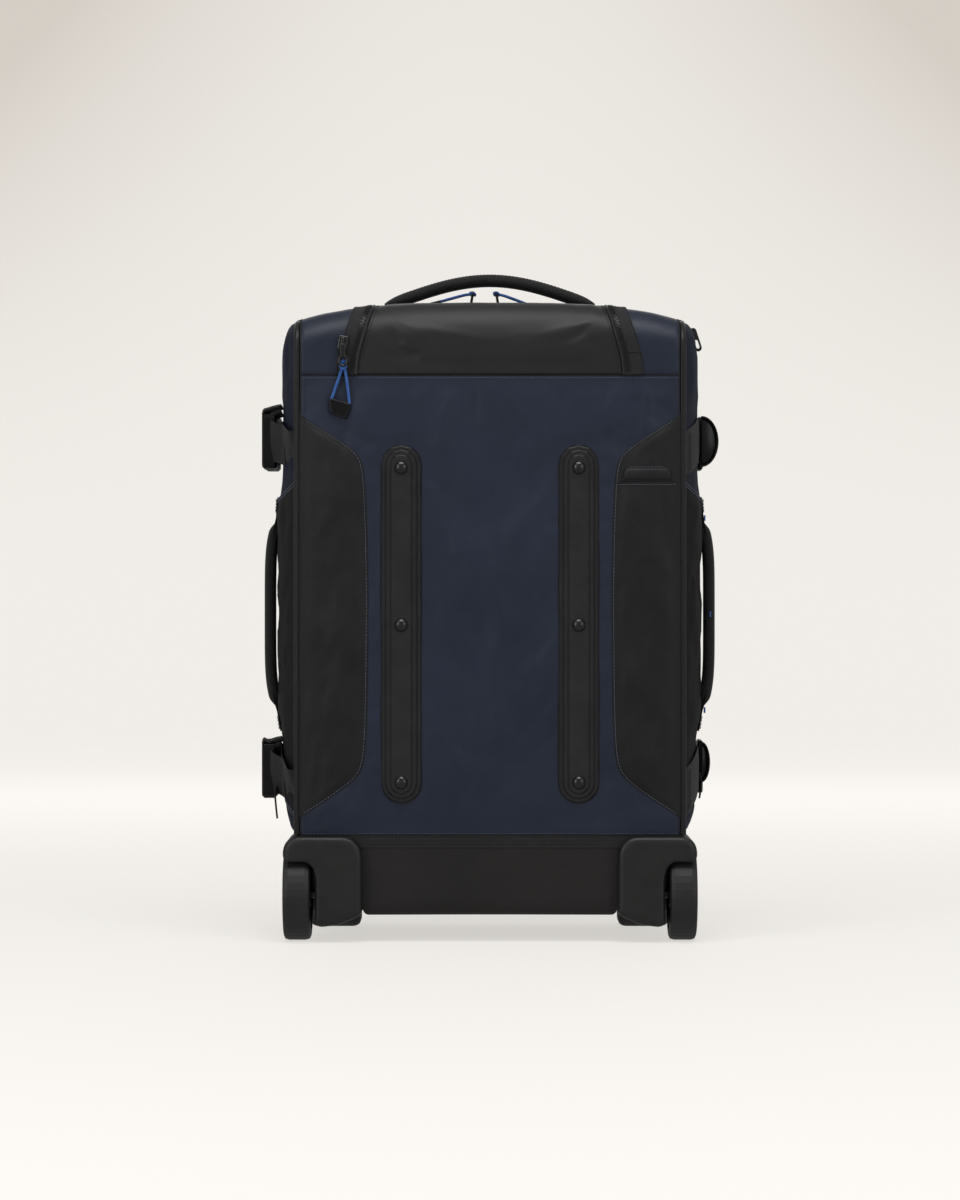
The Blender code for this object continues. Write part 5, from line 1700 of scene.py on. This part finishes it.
def main_pull(side, word):
    """A short tab that stands up from its slider, and a cord through it that arches to an end piece."""
    low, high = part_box(f"main_pull_{word}")
    y, z = (low[1] + high[1]) / 2 / MM, (low[2] + high[2]) / 2 / MM
    root, body = (high[0] if side < 0 else low[0]) / MM + side * 1.2, f"main_pull_{word}"
    tilt, reach = -side * math.radians(9), 14.0
    centre = (root + math.sin(tilt) * reach / 2, z + math.cos(tilt) * reach / 2)
    lozenge(
        (2.4, 7.0, reach + 2.0), 0.9, f"main_tab_{word}", STEEL, body, at(centre[0], y, centre[1], tilt),
        [f"main_pull_{word}"]
    )
    top = Vector((root + math.sin(tilt) * (reach - 1.5), y, z + math.cos(tilt) * (reach - 1.5)))
    far = Vector((root + side * 28.0, y, z + (5.5 if side < 0 else 2.5)))
    half = [(0.0, 0.0), (0.22, 0.9), (0.55, 0.6), (0.85, 0.2), (1.0, 0.0)]
    arch = []
    for across in (-1, 1):
        run = []
        for t, rise in half:
            apart = across * 2.1 * math.sin(math.pi * min(1, t * 1.3) / 1.3)
            run.append(top.lerp(far, t) + Vector((0, apart, rise)))
        arch += run if across < 0 else run[::-1][1:]
    cord_path = catmull(arch, 6)
    cord = pipe(f"main_cord_{word}", cord_path, 1.25, BLUE, body)
    knot = [
        top + Vector(step) for step in (
            (-1.8, 0, -0.8), (0.4, -2.2, 1.0), (1.9, 0.3, -0.6), (-0.2, 2.2, 1.2), (-1.8, -0.4, 0.9),
            (1.2, -1.6, -1.2)
        )
    ]
    pipe(f"main_knot_{word}", catmull(knot, 5), 1.6, BLUE, body)
    end = lozenge(
        (10, 9, 2.6), 1.1, f"main_end_{word}", GLOSSY, body,
        at(far.x + side * 3.5, y, far.z - 1.0, side * math.radians(14))
    )
    [c * MM for c in cord_path[0]]
    path_length(cord_path) * MM
    [[c * MM for c in p] for p in cord_path]


# ---------- Hard parts ----------


# Dark rings of painted shade in the grooves of each rail's face: half width and height
RAIL_GROOVE_SHADES = ((17.5, 1.2), (13.6, 3.6), (9.4, 6.6))


def rail_loop(side, half, height):
    """A ring round a skid rail, at one of the steps in its face, where a dark line of painted shade lies in
    the groove.
    """
    trim = RAIL_HALF - half
    low, high, ring = RAIL_LOW + trim + half, RAIL_HIGH - trim - half, []
    for centre, start in ((high, 0), (low, 180)):
        for degrees in range(start, start + 181, 10):
            a = math.radians(degrees)
            ring.append((side * RAIL_X + half * math.cos(a), BACK_Y - height, centre + half * math.sin(a)))
    return ring


def hard_parts():
    for side, word in ((-1, "left"), (1, "right")):
        paint(RAIL, f"skid_rail_{word}")
        # Thin black rings paint the shade in the grooves between the rail's steps
        for number, (half, height) in enumerate(RAIL_GROOVE_SHADES, 1):
            pipe(
                f"rail_groove_shade_{word}_{number}", rail_loop(side, half, height), 0.34, BINDING, "bag",
                sides=6, closed=True
            )
        rounded_over(f"wheel_housing_{word}", 1.7, 9, PLASTIC, "bag")
        rounded_over(f"foot_{word}", 1.5, 6, RUBBER, "bag")
        paint(PLASTIC, f"wheel_hub_{word}")
        paint(RUBBER, f"tyre_{word}")
        paint(STEEL, f"axle_{word}")
        paint(ALUMINIUM, f"outer_tube_{word}", f"middle_tube_{word}", f"inner_tube_{word}")
        for number in (1, 2, 3):
            screw_head(f"rail_screw_{word}_{number}")
    for level in STRAP_Z:
        paint(BUCKLE, f"buckle_socket_{level}", f"buckle_clip_{level}", f"ladder_lock_{level}")
    paint(PLASTIC, "frame_board", "handle_recess", "grip", "release_button")
    paint(ALUMINIUM, "release_yoke")


def rounded_over(node, cell_mm, passes, finish, body):
    """A moulding with softer edges than its CAD solid has."""
    mesh = NODES[node].data.copy()
    mesh.name = f"{node}_moulding"
    obj = bpy.data.objects.new(mesh.name, mesh)
    bpy.context.scene.collection.objects.link(obj)
    even = obj.modifiers.new("even", "REMESH")
    even.mode, even.voxel_size = "VOXEL", cell_mm * MM
    soft = obj.modifiers.new("soft", "SMOOTH")
    soft.factor, soft.iterations = 0.5, passes
    fewer = obj.modifiers.new("fewer", "DECIMATE")
    fewer.ratio = 0.35
    obj.data = bpy.data.meshes.new_from_object(obj.evaluated_get(bpy.context.evaluated_depsgraph_get()))
    obj.modifiers.clear()
    obj.data.materials.clear()
    obj.data.materials.append(finish)
    obj.data.shade_smooth()
    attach(obj, body)
    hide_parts(node)


def screw_head(node):
    """A domed screw head in a dark ring of painted shade round its foot."""
    low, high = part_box(node)
    x, z, front = (low[0] + high[0]) / 2 / MM, (low[2] + high[2]) / 2 / MM, low[1] / MM
    radius, sides, rings = (high[0] - low[0]) / 2 / MM + 0.7, 32, 10
    verts = [(x, front, z)]
    for ring in range(1, rings + 1):
        lean = math.pi / 2 * ring / rings
        for k in range(sides):
            a = 2 * math.pi * k / sides
            r = radius * math.sin(lean)
            verts.append((x + r * math.cos(a), front + 3.3 * (1 - math.cos(lean)), z + r * math.sin(a)))
    faces = [(0, 1 + k, 1 + (k + 1) % sides) for k in range(sides)]
    for ring in range(rings - 1):
        for k in range(sides):
            a, b = 1 + ring * sides + k, 1 + ring * sides + (k + 1) % sides
            faces.append((a, a + sides, b + sides, b))
    piece(f"{node}_head", verts, faces, SCREW, "bag", [node], [(v[0], v[2]) for v in verts], sharp=50.0)
    # The dark ring is painted shade round the head's foot
    ring = [
        (x + 5.8 * math.cos(a), front + 3.0, z + 5.8 * math.sin(a))
        for a in [2 * math.pi * k / 28 for k in range(28)]
    ]
    pipe(f"{node}_ring", ring, 0.5, BINDING, "bag", sides=6, closed=True)


def lining():
    """The lining inside: in front of the trolley's tubes, on both ends, under the top and over the base."""

    def back(x, z):
        tubes = math.exp(-(((abs(x) - 55.0) / 20) ** 4))
        return BACK_Y + 6.8 + 20 * tubes * smooth((485 - z) / 12)

    def top_of(x):
        return TOP_Z - 6.5 - TOP_DROP * (abs(x) / HALF_WIDTH) ** 4

    def over_back(x, v):
        z = 95.5 + v * (top_of(x) - 95.2)
        y, under_recess = back(x, z) + wrinkle((x, 0, z), 50, 0.8, 41.0), smooth((z - 474) / 16)
        return x, y + under_recess * (-50.4 - y), z

    grid(
        "lining_back", spread(-161.2, 161.2, 60), spread(0, 1, 60), over_back, LINING, "bag", (), 1.0,
        (0, 1, 0)
    )
    for side, word in ((-1, "left"), (1, "right")):

        def over_end(y, z, side=side):
            bulge = 2.5 * (1 - (y / 92) ** 4) + wrinkle((side * 9, y, z), 60, 1.2, 43.0)
            return side * (160.0 + bulge), y, z

        grid(
            f"lining_{word}", spread(-91.5, 95.5, 30), spread(95.0, 531, 50), over_end, LINING, "bag", (),
            0.8, (-side, 0, 0)
        )

    def over_base(x, v):
        y = back(x, 100) - 1 + v * (95.5 - back(x, 100) + 1)
        return x, y, 95.6 + wrinkle((x, y, 0), 50, 0.6, 45.0)

    grid("lining_base", spread(-161, 161, 50), spread(0, 1, 26), over_base, LINING, "bag", (), 0.8, (0, 0, 1))

    def under_top(x, y):
        return x, y, top_of(x) + min(0.0, wrinkle((x, y, 3), 50, 0.8, 47.0))

    grid(
        "lining_top", spread(-162.5, 162.5, 50), spread(-51, LID_BACK_Y - 4, 20), under_top, LINING, "bag",
        (), 0.8, (0, 0, -1)
    )


back_panel()
top_and_cover()
sides()
base()
front()
straps()
handles()
pulls()
hard_parts()
lining()
